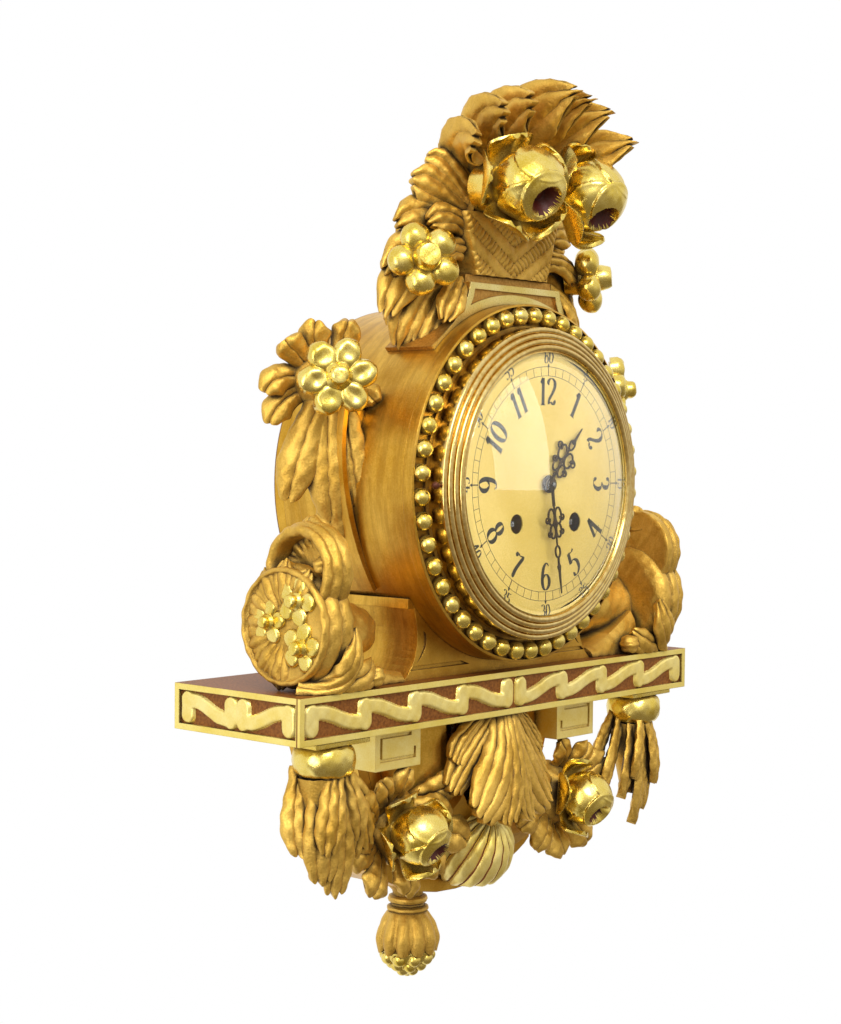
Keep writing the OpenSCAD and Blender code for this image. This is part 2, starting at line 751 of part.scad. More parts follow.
// Leaves on the left of the crest: a fan above, and a tuft that hangs on the case
module crest_leaves() {
    at = [-38, -68, crest_top + 26];
    color("darkgoldenrod") difference() {
        union() {
            leaves([
                [[10, -22, 24], [-2, -16, 56], [-10, -8, 58], 27],
                [[8, -22, 20], [-14, -16, 46], [-22, -8, 48], 26],
                [[6, -20, 16], [-22, -14, 34], [-34, -8, 34], 28],
                [[4, -18, 8], [-28, -12, 18], [-44, -6, 6], 28],
                [[0, -16, -4], [-32, -12, 4], [-54, -6, -24], 28],
                [[-14, -14, -8], [-46, -12, -14], [-54, -6, -50], 26],
                [[-18, -14, -24], [-42, -14, -36], [-40, -4, -68], 24],
                [[-12, -18, -30], [-30, -22, -46], [-32, -12, -70], 20],
                [[-6, -24, -24], [-22, -34, -32], [-28, -30, -52], 18]], at, [-0.6, -0.8, 0.1], 10, 0.25, 0.8);
            slab(52, 78) polygon([[-38, crest_top - 14], [-54, crest_top - 34], [-74, crest_top - 22],
                [-74, crest_top], [-62, crest_top + 28], [-40, crest_top + 40]]);
        }
        drum_hole(0.1);
        slab(0, crest_d + 1) crest_outline(-glue);
        slab(0, big) polygon([[-bar_w / 2 - glue, crest_top - 1], [-bar_w / 2 - glue, basket_z],
            [-35 - glue, basket_z], [-46 - glue, basket_z + basket_h], [-30, basket_z + basket_h],
            [-30, crest_top - 1]]);
        plume_back(glue);
    }
}
module crest_leaves_left() crest_leaves();
module crest_leaves_right() mirror([1, 0, 0]) crest_leaves();

// A bunch of rounded petals on each side of the crest
bunch_x = 82;
bunch_z = crest_top + 11;
module crest_flowers() {
    color("gold") both() translate([-bunch_x, -96, bunch_z]) rotate([0, 0, -35]) {
        for (k = [0 : 4]) rotate([0, 72 * k + 54, 0]) translate([13.5, 0, 0]) sphere(r = 8.2, $fn = 28);
        translate([0, -7, 0]) sphere(r = 7.6, $fn = 28);
        rotate([-90, 0, 0]) cylinder(r = 9, h = 17, $fn = 40);
    }
}

crest_rose_x = 31;
crest_rose_y = 133;
crest_rose_z = crest_top + 57;
module crest_roses() {
    color("gold") both() rose([-crest_rose_x, -crest_rose_y, crest_rose_z], rose_d, 6,
        crest_rose_y - plume_front - glue);
}

// Carved ears on both sides of the round case, down to the ledge of the base
wing_d = 68;
wing_near = 28;
wing_out = 15;
module wing_outline(grow = 0) {
    n = 12;
    top = 155 - 0.3 * grow;
    sweep = 60 + 0.6 * grow;
    polygon(concat([for (i = [0 : n])
            on_drum(top + sweep * i / n, grow + 3 + wing_out * (0.5 + 0.5 * cos(180 * pow(i / n, 0.7))))],
        [for (i = [0 : n]) on_drum(top + sweep * (1 - i / n), -1)]));
}

module wings() {
    color("goldenrod") both() difference() {
        slab(wing_near, wing_d) wing_outline();
        drum_hole();
        slab(wing_d - 2, wing_d + 1) difference() {
            wing_outline(-4);
            wing_outline(-7);
        }
        slab(0, big) translate([-base_w, shelf_z]) square([2 * base_w, ledge_h]);
    }
}

// Large flowers at shoulder height, and the leaves and husks that hang from them
side_x = 138;
side_z = 62;
husk_bed = 0.5;
module side_flowers() {
    color("gold") both() translate([-side_x, -76, side_z]) rotate([0, 0, -38]) flower(21, 20);
}

module husks() {
    at = [-side_x + 16, -54, side_z];
    color("darkgoldenrod") both() difference() {
        union() {
            leaves([
                [[6, 0, 8], [6, -12, 24], [4, -14, 34], 17],
                [[0, 4, 8], [-12, 0, 24], [-8, 0, 34], 18],
                [[-4, 6, 4], [-24, 6, 18], [-26, 8, 22], 18],
                [[-6, 10, 0], [-28, 14, 4], [-32, 18, -10], 18],
                [[-6, 10, -6], [-24, 16, -12], [-26, 20, -28], 18],
                [[10, -8, -6], [18, -20, -8], [18, -24, -14], 15],
                [[0, 0, -8], [-16, 6, -40], [-16, 14, -74], 24],
                [[2, -2, -8], [-6, -6, -50], [6, -2, -86], 26],
                [[6, -6, -8], [6, -16, -40], [16, -14, -76], 20],
                [[4, 2, -68], [2, -4, -84], [10, 0, -98], 19]], at, [-0.8, -0.6, 0], 9, 0.3, 0.8);
            slab(38, 66) polygon([for (a = [0 : 45 : 315]) [at[0] + 2 + 15 * cos(a), side_z + 15 * sin(a)]]);
        }
        drum_hole(0.1);
        slab(0, wing_d - husk_bed) wing_outline(-husk_bed);
    }
}

// Scrolled ends on the shelf: a roll, a curl over it and a foot to the base
roll_x = half_shelf - 46;
roll_y = 76;
roll_z = shelf_z + 37;
module scroll() {
    color("darkgoldenrod") {
        translate([-roll_x, -roll_y, roll_z]) rotate([0, 90, 0]) rotate_extrude($fn = 40) polygon([
            [0, -31], [22, -31], [26, -28], [26.6, -24], [25, -22], [25, -14], [33, -9],
            [36.6, -3], [36.6, 2], [33, 7], [27, 12], [25, 26], [0, 26]]);
        translate([-roll_x - 4, -roll_y + 5, roll_z + 22]) rotate([0, 90, 0])
            rotate_extrude($fn = 32) polygon([[10, -5], [14, -9], [22, -9], [27, -4], [27, 4],
                [22, 9.5], [14, 9.5], [10, 5]]);
        slab(roll_y - 22, roll_y + 18) polygon(concat([[-roll_x - 14, shelf_z], [-base_w / 2 - 1, shelf_z]],
            [for (i = [0 : 8]) let (t = i / 8)
                [-base_w / 2 - 1 - (roll_x - base_w / 2 - 1) * t, shelf_z + 6 + 22 * pow(t, 1.5)]]));
        difference() {
            for (k = [0 : 7]) {
                a = 82 + 27 * k;
                c = [-roll_x - 18, -roll_y + 4, roll_z];
                r = [0, -cos(a), sin(a)];
                reach = k < 2 ? 48 : 28;
                leaf([c + 10 * r, c + (reach + 3) * r + [-4, 0, 0], c + (reach - 1) * r + [-17, 0, 0]],
                    [1, 0, 0] + r, 20, 9, 0.35, 0.95);
            }
            translate([-2 * half_shelf, -big, shelf_z - 40]) cube([4 * half_shelf, 2 * big, 40]);
            translate([-2 * half_shelf, -1, -big]) cube([4 * half_shelf, big, 2 * big]);
        }
    }
}
module scroll_left() scroll();
module scroll_right() mirror([1, 0, 0]) scroll();

module scroll_flowers() {
    color("gold") both() for (p = [[10, 15], [14, -11], [-12, 2]])
        translate([-roll_x - 31, -roll_y - p[0], roll_z + p[1]]) rotate([0, 0, -90]) flower(12.2, 1);
}

// The metal pan that carries the dial in front of the movement
pan_hole = 33;
module dial_pan() {
    color("burlywood") difference() {
        turned() polygon([
            [0, plate_front], [ring_in, plate_front], [ring_in, ring_front],
            [bezel_r - 1, ring_front], [bezel_r - 1, ring_front + 4.6], [pan_r, ring_front + 4.6],
            [pan_r, dial_d], [dial_r + 0.1, dial_d], [dial_r + 0.1, dial_d - dial_t],
            [dial_r - 2, dial_d - dial_t], [dial_r - 2, plate_front + 1], [0, plate_front + 1]]);
        rod(0, 0, pan_hole, 0, plate_front + 2);
        both() rod(-wind_x, -wind_z, wind_r + 1, 0, plate_front + 2);
    }
}

module dial() {
    color("khaki") difference() {
        rod(0, 0, dial_r, dial_d - dial_t, dial_d);
        rod(0, 0, 4.6, 0, big);
        both() rod(-wind_x, -wind_z, wind_r, 0, big);
    }
}

// The movement's places: each arbor's centre in X and Z
gw_m = 0.6;
mid_m = 0.5;
up_m = 0.35;
big_n = 72;
mid_n = 60;
leafs = 12;
centre_n = 84;
third_n = 72;
small_n = 7;
barrel_c = [wind_x, -wind_z];
reach_big = gw_m * (big_n + leafs) / 2;
reach_mid = mid_m * (mid_n + leafs) / 2;
reach_third = up_m * (centre_n + small_n) / 2;
reach_escape = up_m * (third_n + small_n) / 2;
barrel_far = norm(barrel_c);
mid_a = atan2(-wind_z, wind_x)
    + acos((pow(reach_mid, 2) + pow(barrel_far, 2) - pow(reach_big, 2)) / (2 * reach_mid * barrel_far));
mid_c = reach_mid * [cos(mid_a), sin(mid_a)];
third_a = 100;
third_c = reach_third * [cos(third_a), sin(third_a)];
escape_c = [0, third_c[1] + sqrt(pow(reach_escape, 2) - pow(third_c[0], 2))];
escape_r = 8;
anchor_z = escape_c[1] + 12.4;
motion_far = 14.4;
motion_a = 60;
motion_c = motion_far * [cos(motion_a), sin(motion_a)];
cannon_m = 2 * motion_far / 48;
hour_m = 2 * motion_far / 50;

plate_w = 104;
plate_up = 54;
plate_dn = 50;
module plate_form() {
    translate([-plate_w / 2, -plate_dn]) square([plate_w, plate_up + plate_dn]);
}

pillar_x = plate_w / 2 - 6;
barrel_near = plate_rear + 6;
module pillars_at() for (x = [-pillar_x, pillar_x], z = [-plate_dn + 6, plate_up - 6]) translate([x, z]) children();

module front_plate() {
    color("gold") difference() {
        union() {
            slab(plate_front - plate_t, plate_front) difference() {
                plate_form();
                circle(r = 2.5 + run, $fn = 48);
                for (s = [-1, 1]) translate([s * wind_x, -wind_z]) circle(r = 2.4 + run, $fn = 48);
                translate(mid_c) circle(r = 1 + run, $fn = 32);
                translate(third_c) circle(r = 0.6 + run, $fn = 32);
                translate(escape_c) circle(r = 0.6 + run, $fn = 32);
                translate([0, anchor_z]) circle(r = 0.6 + run, $fn = 32);
                translate(hammer_c) circle(r = 1 + run, $fn = 32);
            }
            rod(motion_c[0], motion_c[1], 1.2, plate_front, plate_front + 10);
        }
    }
}

// The rear plate, with the pillars and the stud that the pendulum hangs from
pend_y = plate_rear - 12;
module back_plate() {
    color("gold") difference() {
        union() {
            slab(plate_rear - plate_t, plate_rear) difference() {
                plate_form();
                circle(r = 1 + run, $fn = 48);
                for (s = [-1, 1]) translate([s * wind_x, -wind_z]) circle(r = 1.5 + run, $fn = 48);
                translate(mid_c) circle(r = 1 + run, $fn = 32);
                translate(third_c) circle(r = 0.6 + run, $fn = 32);
                translate(escape_c) circle(r = 0.6 + run, $fn = 32);
                translate([0, anchor_z]) circle(r = 1.5 + run, $fn = 32);
                translate(hammer_c) circle(r = 1 + run, $fn = 32);
            }
            slab(plate_rear, plate_front - plate_t) pillars_at() circle(r = 3, $fn = 40);
            translate([-7, -plate_rear + plate_t - 0.01, anchor_z + 4]) cube([14, plate_rear - plate_t - pend_y + 4, 4]);
            translate([-7, -pend_y + 1, anchor_z - 3]) cube([14, 3, 10]);
        }
        rod(0, anchor_z, 1.2 + run, pend_y - 10, pend_y - 0.5);
    }
}

// A spring barrel with its great wheel, turning on the winding arbor
module barrel(side, turn) {
    x = side * wind_x;
    color("gold") difference() {
        union() {
            rod(x, -wind_z, 20, barrel_near, barrel_near + 19);
            pinion(x, -wind_z, big_n, gw_m, turn, barrel_near + 19, barrel_near + 20.6);
        }
        rod(x, -wind_z, 2.4 + run, 0, big);
        rod(x, -wind_z, 18.6, barrel_near + 1.2, barrel_near + 17.8);
    }
}
module time_barrel() barrel(1, atan2(mid_c[1] + wind_z, mid_c[0] - wind_x));
module strike_barrel() barrel(-1, 0);

// A winding arbor with its ratchet wheel and square end behind the dial's hole
module wind_arbor(side) {
    x = side * wind_x;
    end = dial_d - dial_t - 2.5;
    color("silver") {
        rod(x, -wind_z, 1.5, plate_rear - plate_t, plate_rear);
        rod(x, -wind_z, 2.4, plate_rear, plate_front + 1);
        rod(x, -wind_z, 4, plate_rear + 0.5, barrel_near - 0.3);
        translate([x, 0, -wind_z]) slab(plate_front + 1, end) square(3.3, center = true);
        translate([x, 0, -wind_z]) slab(plate_front - 8, plate_front - 6.5) polygon([for (k = [0 : 23])
            each [8.8 * [cos(15 * k), sin(15 * k)], 7.4 * [cos(15 * k + 3), sin(15 * k + 3)]]]);
    }
}
module time_arbor() wind_arbor(1);
module strike_arbor() wind_arbor(-1);

mid_y = barrel_near + 25;
centre_y = barrel_near + 9;
third_y = barrel_near + 16;
escape_y = barrel_near + 3;
hand_y = dial_d + 3.8;
// The centre arbor: its pinion and wheel, and the pipe that carries the minute hand
module centre_arbor() {
    color("silver") {
        rod(0, 0, 1, plate_rear - plate_t, plate_rear);
        rod(0, 0, 1.8, plate_rear, plate_front - plate_t - 2);
        rod(0, 0, 2.5, plate_front - plate_t - 2, hand_y);
        rod(0, 0, 1.4, hand_y, hand_y + 2.2);
        pinion(0, 0, leafs, mid_m, mid_a + 15, mid_y - 1.5, mid_y + 2.7);
        pinion(0, 0, leafs, cannon_m, motion_a, plate_front + 1.5, plate_front + 4.5);
        wheel(0, 0, centre_n, up_m, third_a, centre_y, centre_y + 1.2, 3.6);
    }
}

module arbor(c, r, pivot) {
    rod(c[0], c[1], pivot, plate_rear - plate_t, plate_rear);
    rod(c[0], c[1], r, plate_rear, plate_front - plate_t);
    rod(c[0], c[1], pivot, plate_front - plate_t, plate_front);
}

module intermediate_wheel() {
    color("gold") {
        arbor(mid_c, 1.3, 1);
        to_big = atan2(-wind_z - mid_c[1], wind_x - mid_c[0]);
        pinion(mid_c[0], mid_c[1], leafs, gw_m, to_big + 15, barrel_near + 18, barrel_near + 21.6);
        wheel(mid_c[0], mid_c[1], mid_n, mid_m, mid_a + 180, mid_y, mid_y + 1.2, 4);
    }
}

module third_wheel() {
    to_escape = atan2(escape_c[1] - third_c[1], escape_c[0] - third_c[0]);
    color("gold") {
        arbor(third_c, 0.8, 0.6);
        pinion(third_c[0], third_c[1], small_n, up_m, third_a + 180 + 180 / small_n, centre_y - 1, centre_y + 2.2);
        wheel(third_c[0], third_c[1], third_n, up_m, to_escape, third_y, third_y + 1.2, 3);
    }
}

module escape_wheel() {
    teeth = 30;
    from_third = atan2(third_c[1] - escape_c[1], third_c[0] - escape_c[0]);
    color("gold") {
        arbor(escape_c, 0.8, 0.6);
        pinion(escape_c[0], escape_c[1], small_n, up_m, from_third + 180 / small_n, third_y - 1, third_y + 2.2);
        translate([escape_c[0], 0, escape_c[1]]) slab(escape_y, escape_y + 1) difference() {
            polygon([for (k = [0 : teeth - 1]) let (a = 360 * k / teeth)
                each [escape_r * [cos(a), sin(a)], 6.4 * [cos(a + 2), sin(a + 2)], 6.4 * [cos(a + 9), sin(a + 9)]]]);
            for (k = [0 : 4]) rotate(72 * k) translate([4, 0]) circle(r = 1.5, $fn = 24);
        }
    }
}

// The anchor over the escape wheel, with its arbor and the crutch behind the plate
crutch_l = 26;
pend_rod_r = 1.2;
module pallet_anchor() {
    color("silver") {
        rod(0, anchor_z, 1.5, plate_rear - plate_t - 6, plate_front - plate_t);
        rod(0, anchor_z, 0.6, plate_front - plate_t, plate_front);
        translate([0, 0, anchor_z]) slab(escape_y - 0.5, escape_y + 1.5) {
            circle(r = 2.6, $fn = 32);
            translate([-11, -3]) square([22, 1.8]);
            for (s = [-1, 1]) translate([s * 10.2 - 0.8, -14]) square([1.6, 12.8]);
        }
        translate([0, 0, anchor_z]) slab(plate_rear - plate_t - 6, plate_rear - plate_t - 4.6) {
            circle(r = 3, $fn = 32);
            translate([-1.2, -crutch_l]) square([2.4, crutch_l]);
        }
        for (s = [-1, 1]) translate([s * (pend_rod_r + 1.1), -pend_y + 2, anchor_z - crutch_l + 1])
            rotate([90, 0, 0]) cylinder(r = 0.8, h = plate_rear - plate_t - 5 - pend_y + 2, $fn = 24);
        translate([-pend_rod_r - 1.9, -plate_rear + plate_t + 4.6, anchor_z - crutch_l])
            cube([2 * pend_rod_r + 3.8, 1.4, 2]);
    }
}

module minute_wheel() {
    c = motion_c;
    color("gold") difference() {
        union() {
            pinion(c[0], c[1], 36, cannon_m, motion_a + 180 + 5, plate_front + 2.2, plate_front + 3.8);
            pinion(c[0], c[1], 10, hour_m, motion_a + 180, plate_front + 3.8, plate_front + 9);
            rod(c[0], c[1], 2.2, plate_front + 0.3, plate_front + 2.2);
        }
        rod(c[0], c[1], 1.2 + run, 0, big);
    }
}

hour_gear_y = plate_front + 6.4;
hour_y = dial_d + 1.4;
module hour_wheel() {
    color("gold") difference() {
        union() {
            pinion(0, 0, 40, hour_m, motion_a + 4.5, hour_gear_y, hour_gear_y + 1.6);
            rod(0, 0, 3.5, hour_gear_y, hour_y + 1);
        }
        rod(0, 0, 2.5 + run, 0, big);
    }
}

// Pierced hands, drawn pointing up and turned to the time shown
minute_l = 68;
hour_l = 47.5;
hour_set = -44;
minute_set = -171;
module pierced_hand(l, bore, scroll_r, share) {
    difference() {
        union() {
            circle(r = bore + 2.6, $fn = 40);
            translate([-1.1, 0]) square([2.2, l * 0.5]);
            for (s = [-1, 1]) translate([s * 0.9 * scroll_r, share * l]) circle(r = scroll_r, $fn = 40);
            translate([0, share * l + 1.5 * scroll_r]) circle(r = scroll_r, $fn = 40);
            translate([0, 0.62 * l]) circle(r = 0.7 * scroll_r, $fn = 32);
            polygon([[-1.6, 0.5 * l], [1.6, 0.5 * l], [0.9, 0.8 * l], [0, l], [-0.9, 0.8 * l]]);
        }
        circle(r = bore, $fn = 48);
        for (s = [-1, 1]) translate([s * 0.95 * scroll_r, share * l]) circle(r = 0.5 * scroll_r, $fn = 32);
        translate([0, share * l + 1.6 * scroll_r]) circle(r = 0.5 * scroll_r, $fn = 32);
    }
}

module minute_hand() color("black") slab(hand_y, hand_y + 0.8) rotate(minute_set)
    pierced_hand(minute_l, 1.4, 4, 0.3);
module hour_hand() color("black") slab(hour_y, hour_y + 0.8) rotate(hour_set)
    difference() {
        pierced_hand(hour_l, 2.6, 4.4, 0.46);
        circle(r = 3.5 + 0.02, $fn = 96);
    }

// The pendulum: suspension spring, rod, bob and rating nut
bob_z = anchor_z - pendulum_l;
bob_t = 9;
module pendulum() {
    color("silver") {
        rod(0, anchor_z, 1.2, pend_y - 6.5, pend_y - 0.7);
        rod(0, anchor_z, 2.4, pend_y - 6.5, pend_y - 4.5);
        rod(0, anchor_z, 3, pend_y - 0.7, pend_y + 1.4);
        translate([-2.5, -pend_y - 0.2, anchor_z - 16]) cube([5, 0.4, 14]);
        translate([0, -pend_y, bob_z - bob_d / 2 - 10]) cylinder(r = pend_rod_r,
            h = pendulum_l + bob_d / 2 - 4, $fn = 32);
        translate([0, -pend_y, bob_z - bob_d / 2 - 7]) cylinder(r = 4, h = 6.8, $fn = 32);
    }
}

module pendulum_bob() {
    color("gold") difference() {
        translate([0, -pend_y, bob_z]) rotate([90, 0, 0]) rotate_extrude($fn = 72) polygon([
            [0, -bob_t / 2], [bob_d / 2 - 5, -bob_t / 2], [bob_d / 2, -1], [bob_d / 2, 1],
            [bob_d / 2 - 5, bob_t / 2], [0, bob_t / 2]]);
        translate([0, -pend_y, bob_z - bob_d]) cylinder(r = pend_rod_r + run, h = 2 * bob_d, $fn = 32);
    }
}

// The coiled gong on its iron block, and the hammer that strikes it
gong_z = -35;
gong_r = 42;
gong_near = 20;
gong_turns = 2.5;
function coil(a, grow) =
    let (r = gong_r - 7.5 * a / 360 + grow) [r * cos(a - 90), gong_z + r * sin(a - 90)];
module gong() {
    last = 360 * gong_turns;
    color("steelblue") {
        slab(gong_near, gong_near + gong_wire) polygon(concat(
            [for (a = [0 : 12 : last]) coil(a, gong_wire / 2)],
            [for (a = [last : -12 : 0]) coil(a, -gong_wire / 2)]));
        slab(back_t, gong_near + gong_wire + 3) translate([-9, gong_z - gong_r - 12]) square([18, 15]);
    }
}

gong_left = gong_r - 0.75 * 7.5 + gong_wire / 2;
hammer_c = [-42, 14];
hammer_y = gong_near - 1;
hammer_l = 49;
module strike_hammer() {
    color("silver") {
        rod(hammer_c[0], hammer_c[1], 1, plate_rear - plate_t, plate_front);
        rod(hammer_c[0], hammer_c[1], 2, plate_rear, plate_front - plate_t);
        rod(hammer_c[0], hammer_c[1], 2, hammer_y, plate_rear - plate_t);
        translate([hammer_c[0], 0, hammer_c[1]]) slab(hammer_y, hammer_y + 2) {
            circle(r = 4, $fn = 32);
            rotate(-10) translate([-1.2, -hammer_l]) square([2.4, hammer_l]);
        }
        translate([-gong_left - 1, -gong_near - gong_wire / 2, hammer_c[1] - hammer_l])
            rotate([0, -90, 0]) cylinder(r = 4, h = 16, $fn = 40);
    }
}

// The door: a reeded bezel, the domed glass, a pull pin and a hinge at three o'clock
knuckle_r = 1.7;
knuckle_h = 6;
pin_r = 0.7;
bezel_near = ring_front + 5;
bezel_far = dial_d + 3.6;
rebate = 2.6;
reed_w = (bezel_r - sight_r - 1.1) / 4;
module bezel() {
    color("gold") difference() {
        turned() polygon(concat(
            [[bezel_r, bezel_near], [bezel_r, bezel_far - 7]],
            [for (k = [0 : 3], a = [0 : 30 : 150])
                [bezel_r - reed_w * (k + 0.5) + 0.5 * reed_w * cos(a),
                    bezel_far - 5 + 1.4 * k + 0.44 * reed_w * sin(a)]],
            [[sight_r, bezel_far], [sight_r, bezel_far - 1],
             [sight_r + rebate + 0.1, bezel_far - 1], [sight_r + rebate + 0.1, dial_d + 0.3],
             [pan_r + 2, dial_d + 0.3], [pan_r + 2, bezel_near]]));
        translate([arm_x, -hinge_y, 0]) cylinder(r = knuckle_r + 0.4, h = 4 * knuckle_h, center = true,
            $fn = 48);
    }
    color("gold") difference() {
        union() {
            translate([arm_x, -hinge_y, 0]) cylinder(r = knuckle_r, h = knuckle_h, center = true, $fn = 40);
            translate([bezel_r - 1.5, -hinge_y - knuckle_r, -knuckle_h / 2])
                cube([arm_x - bezel_r + 1.5, 1, knuckle_h]);
        }
        translate([arm_x, -hinge_y, 0]) cylinder(r = pin_r + run, h = 60, center = true, $fn = 32);
    }
}

glass_near = dial_d + 0.2;
module glass() {
    rim_r = sight_r + rebate;
    ball_r = (pow(sight_r - 0.3, 2) + pow(dome_h, 2)) / (2 * dome_h);
    full_a = asin((sight_r - 0.3) / ball_r);
    base = glass_near + 2.2 - (ball_r - dome_h);
    n = 16;
    color([0.8, 0.9, 0.9, 0.3]) turned() polygon(concat(
        [for (i = [0 : n]) let (a = full_a * i / n) [ball_r * sin(a), base + ball_r * cos(a)]],
        [[rim_r, glass_near + 2.2], [rim_r, glass_near + 0.2], [sight_r - 2.6, glass_near + 0.2]],
        [for (i = [n : -1 : 0]) let (a = (full_a - 1.6) * i / n)
            [(ball_r - glass_t) * sin(a), base + (ball_r - glass_t) * cos(a)]]));
}

module pull_pin() {
    color("sienna") translate([-bezel_r, -bezel_near - 5, 0]) rotate([0, -90, 0])
        rotate_extrude($fn = 32) polygon([[0, 0], [1.2, 0], [1.2, 2], [2.2, 3.4], [2.2, 5], [1, 6], [0, 6.2]]);
}

// The door's hinge: the fixed leaf and its two outer knuckles, with their pin
module bezel_hinge() {
    color("gold") {
        for (s = [-1, 1]) translate([arm_x, -hinge_y, s * (knuckle_h + 0.1)])
            cylinder(r = knuckle_r, h = knuckle_h, center = true, $fn = 40);
        translate([arm_x, -hinge_y, 0]) cylinder(r = pin_r, h = 3 * knuckle_h, center = true, $fn = 32);
        for (s = [-1, 1]) translate([arm_x - 1, -hinge_y, s * (knuckle_h + 0.1) - knuckle_h / 2])
            cube([1, hinge_y - ring_front, knuckle_h]);
    }
}

drum_case();
front_ring();
beads();
back_board();
back_cover();
cover_screws();
hanger_plate();
hanger_screws();
base_block();
shelf();
shelf_fret();
corbel();
belly();
fret_tabs();
ring_caps();
drapes();
garlands();
garland_roses();
centre_leaf();
shell_cup();
finial_cup();
finial_berry();
crest_block();
basket();
plume();
crest_leaves_left();
crest_leaves_right();
crest_flowers();
crest_roses();
wings();
side_flowers();
husks();
scroll_left();
scroll_right();
scroll_flowers();
dial_pan();
dial();
front_plate();
back_plate();
time_barrel();
strike_barrel();
time_arbor();
strike_arbor();
centre_arbor();
intermediate_wheel();
third_wheel();
escape_wheel();
pallet_anchor();
minute_wheel();
hour_wheel();
minute_hand();
hour_hand();
pendulum();
pendulum_bob();
gong();
strike_hammer();
bezel();
glass();
pull_pin();
bezel_hinge();
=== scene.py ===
import math
import bpy
import bmesh
import numpy as np
from mathutils import Matrix, Vector


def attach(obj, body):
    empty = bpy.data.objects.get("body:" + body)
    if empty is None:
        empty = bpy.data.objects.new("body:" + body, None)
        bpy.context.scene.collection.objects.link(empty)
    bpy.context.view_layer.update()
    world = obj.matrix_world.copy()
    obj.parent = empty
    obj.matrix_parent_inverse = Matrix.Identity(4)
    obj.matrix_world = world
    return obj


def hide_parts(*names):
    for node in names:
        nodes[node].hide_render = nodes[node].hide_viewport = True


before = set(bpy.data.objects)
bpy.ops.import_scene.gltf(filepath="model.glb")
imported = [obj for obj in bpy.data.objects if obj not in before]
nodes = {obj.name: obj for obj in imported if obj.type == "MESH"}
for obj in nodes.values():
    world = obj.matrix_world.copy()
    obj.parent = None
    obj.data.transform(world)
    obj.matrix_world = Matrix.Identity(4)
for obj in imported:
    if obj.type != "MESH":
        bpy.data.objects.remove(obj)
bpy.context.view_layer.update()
mm = 0.001
weld = 2e-6  # metres; points nearer than this become one
print("frame:", len(nodes), "nodes")


# Sizes below are mm in the part's frame: x to the viewer's right, y into the wall, z up.
def hexColour(text):
    parts = [int(text[i:i + 2], 16) / 255 for i in (0, 2, 4)]
    return tuple(c / 12.92 if c <= 0.04045 else ((c + 0.055) / 1.055) ** 2.4 for c in parts) + (1.0,)


def nodeAdder(tree):  # gives the one function that adds a node with its settings and links
    def add(kind, inputs=None, **settings):
        node = tree.nodes.new(kind if "Node" in kind else "ShaderNode" + kind)
        for key, value in settings.items():
            setattr(node, key, value)
        for key, value in (inputs or {}).items():
            if isinstance(value, bpy.types.NodeSocket):
                tree.links.new(value, node.inputs[key])
            else:
                node.inputs[key].default_value = hexColour(value) if isinstance(value, str) else value
        return node.outputs
    return add


def unit(v):
    return v / np.maximum(np.linalg.norm(v, axis=-1, keepdims=True), 1e-9)


def quads(rows, cols, closeRows=False):  # faces over rings of points, row after row
    i = np.arange(rows if closeRows else rows - 1)[:, None]
    j = np.arange(cols)[None, :]
    i2, j2 = (i + 1) % rows, (j + 1) % cols
    corners = i * cols + j, i * cols + j2, i2 * cols + j2, i2 * cols + j
    return np.stack(np.broadcast_arrays(*corners), -1).reshape(-1, 4)


def handCut(v, amount, size=10.0):  # the small unevenness of carving done by hand
    k = 2 * math.pi / size
    x, y, z = v[:, 0], v[:, 1], v[:, 2]
    return v + amount * np.stack([
        np.sin(k * y + 1.3) * np.cos(0.8 * k * z), np.sin(0.9 * k * z + 2.1) * np.cos(1.1 * k * x),
        np.sin(1.05 * k * x + 0.4) * np.cos(k * y)], 1)


# Parts are lists of (points, faces, material slot)
def flipped(parts):  # the mirror image across x = 0
    return [(v * [-1, 1, 1], f[:, ::-1], s) for v, f, s in parts]


def mirrored(parts):
    return parts + flipped(parts)


def cutAt(parts, farY, lowZ=-1000):  # no point lies nearer to the wall than farY or lower than lowZ
    return [(np.column_stack([v[:, 0], np.minimum(v[:, 1], farY), np.maximum(v[:, 2], lowZ)]), f, s)
            for v, f, s in parts]


def addPiece(name, mesh, body, node, sharp):
    bm = bmesh.new()
    bm.from_mesh(mesh)
    bmesh.ops.remove_doubles(bm, verts=bm.verts, dist=weld)
    bmesh.ops.recalc_face_normals(bm, faces=bm.faces)
    bm.to_mesh(mesh)
    bm.free()
    mesh.shade_smooth()
    mesh.set_sharp_from_angle(angle=math.radians(sharp))
    piece = bpy.data.objects.new(name, mesh)
    bpy.context.scene.collection.objects.link(piece)
    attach(piece, body)
    if node:
        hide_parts(node)


def makePiece(name, node, parts, materials, uneven=0, body="case", sharp=38):  # node is what it replaces
    verts, faces, slots, start = [], [], [], 0
    for v, f, s in parts:
        verts.append(v)
        faces.append(f + start)
        slots.append(np.full(len(f), s) if np.isscalar(s) else s)
        start += len(v)
    verts = np.concatenate(verts)
    if uneven:
        verts = handCut(verts, uneven)
    if body == "case":
        verts[:, 1] = np.minimum(verts[:, 1], 0)
    mesh = bpy.data.meshes.new(name)
    mesh.from_pydata((verts * mm).tolist(), [], np.concatenate(faces).tolist())
    for m in materials if isinstance(materials, (list, tuple)) else [materials]:
        mesh.materials.append(m)
    mesh.polygons.foreach_set("material_index", np.concatenate(slots).astype(np.int32))
    addPiece(name, mesh, body, node, sharp)


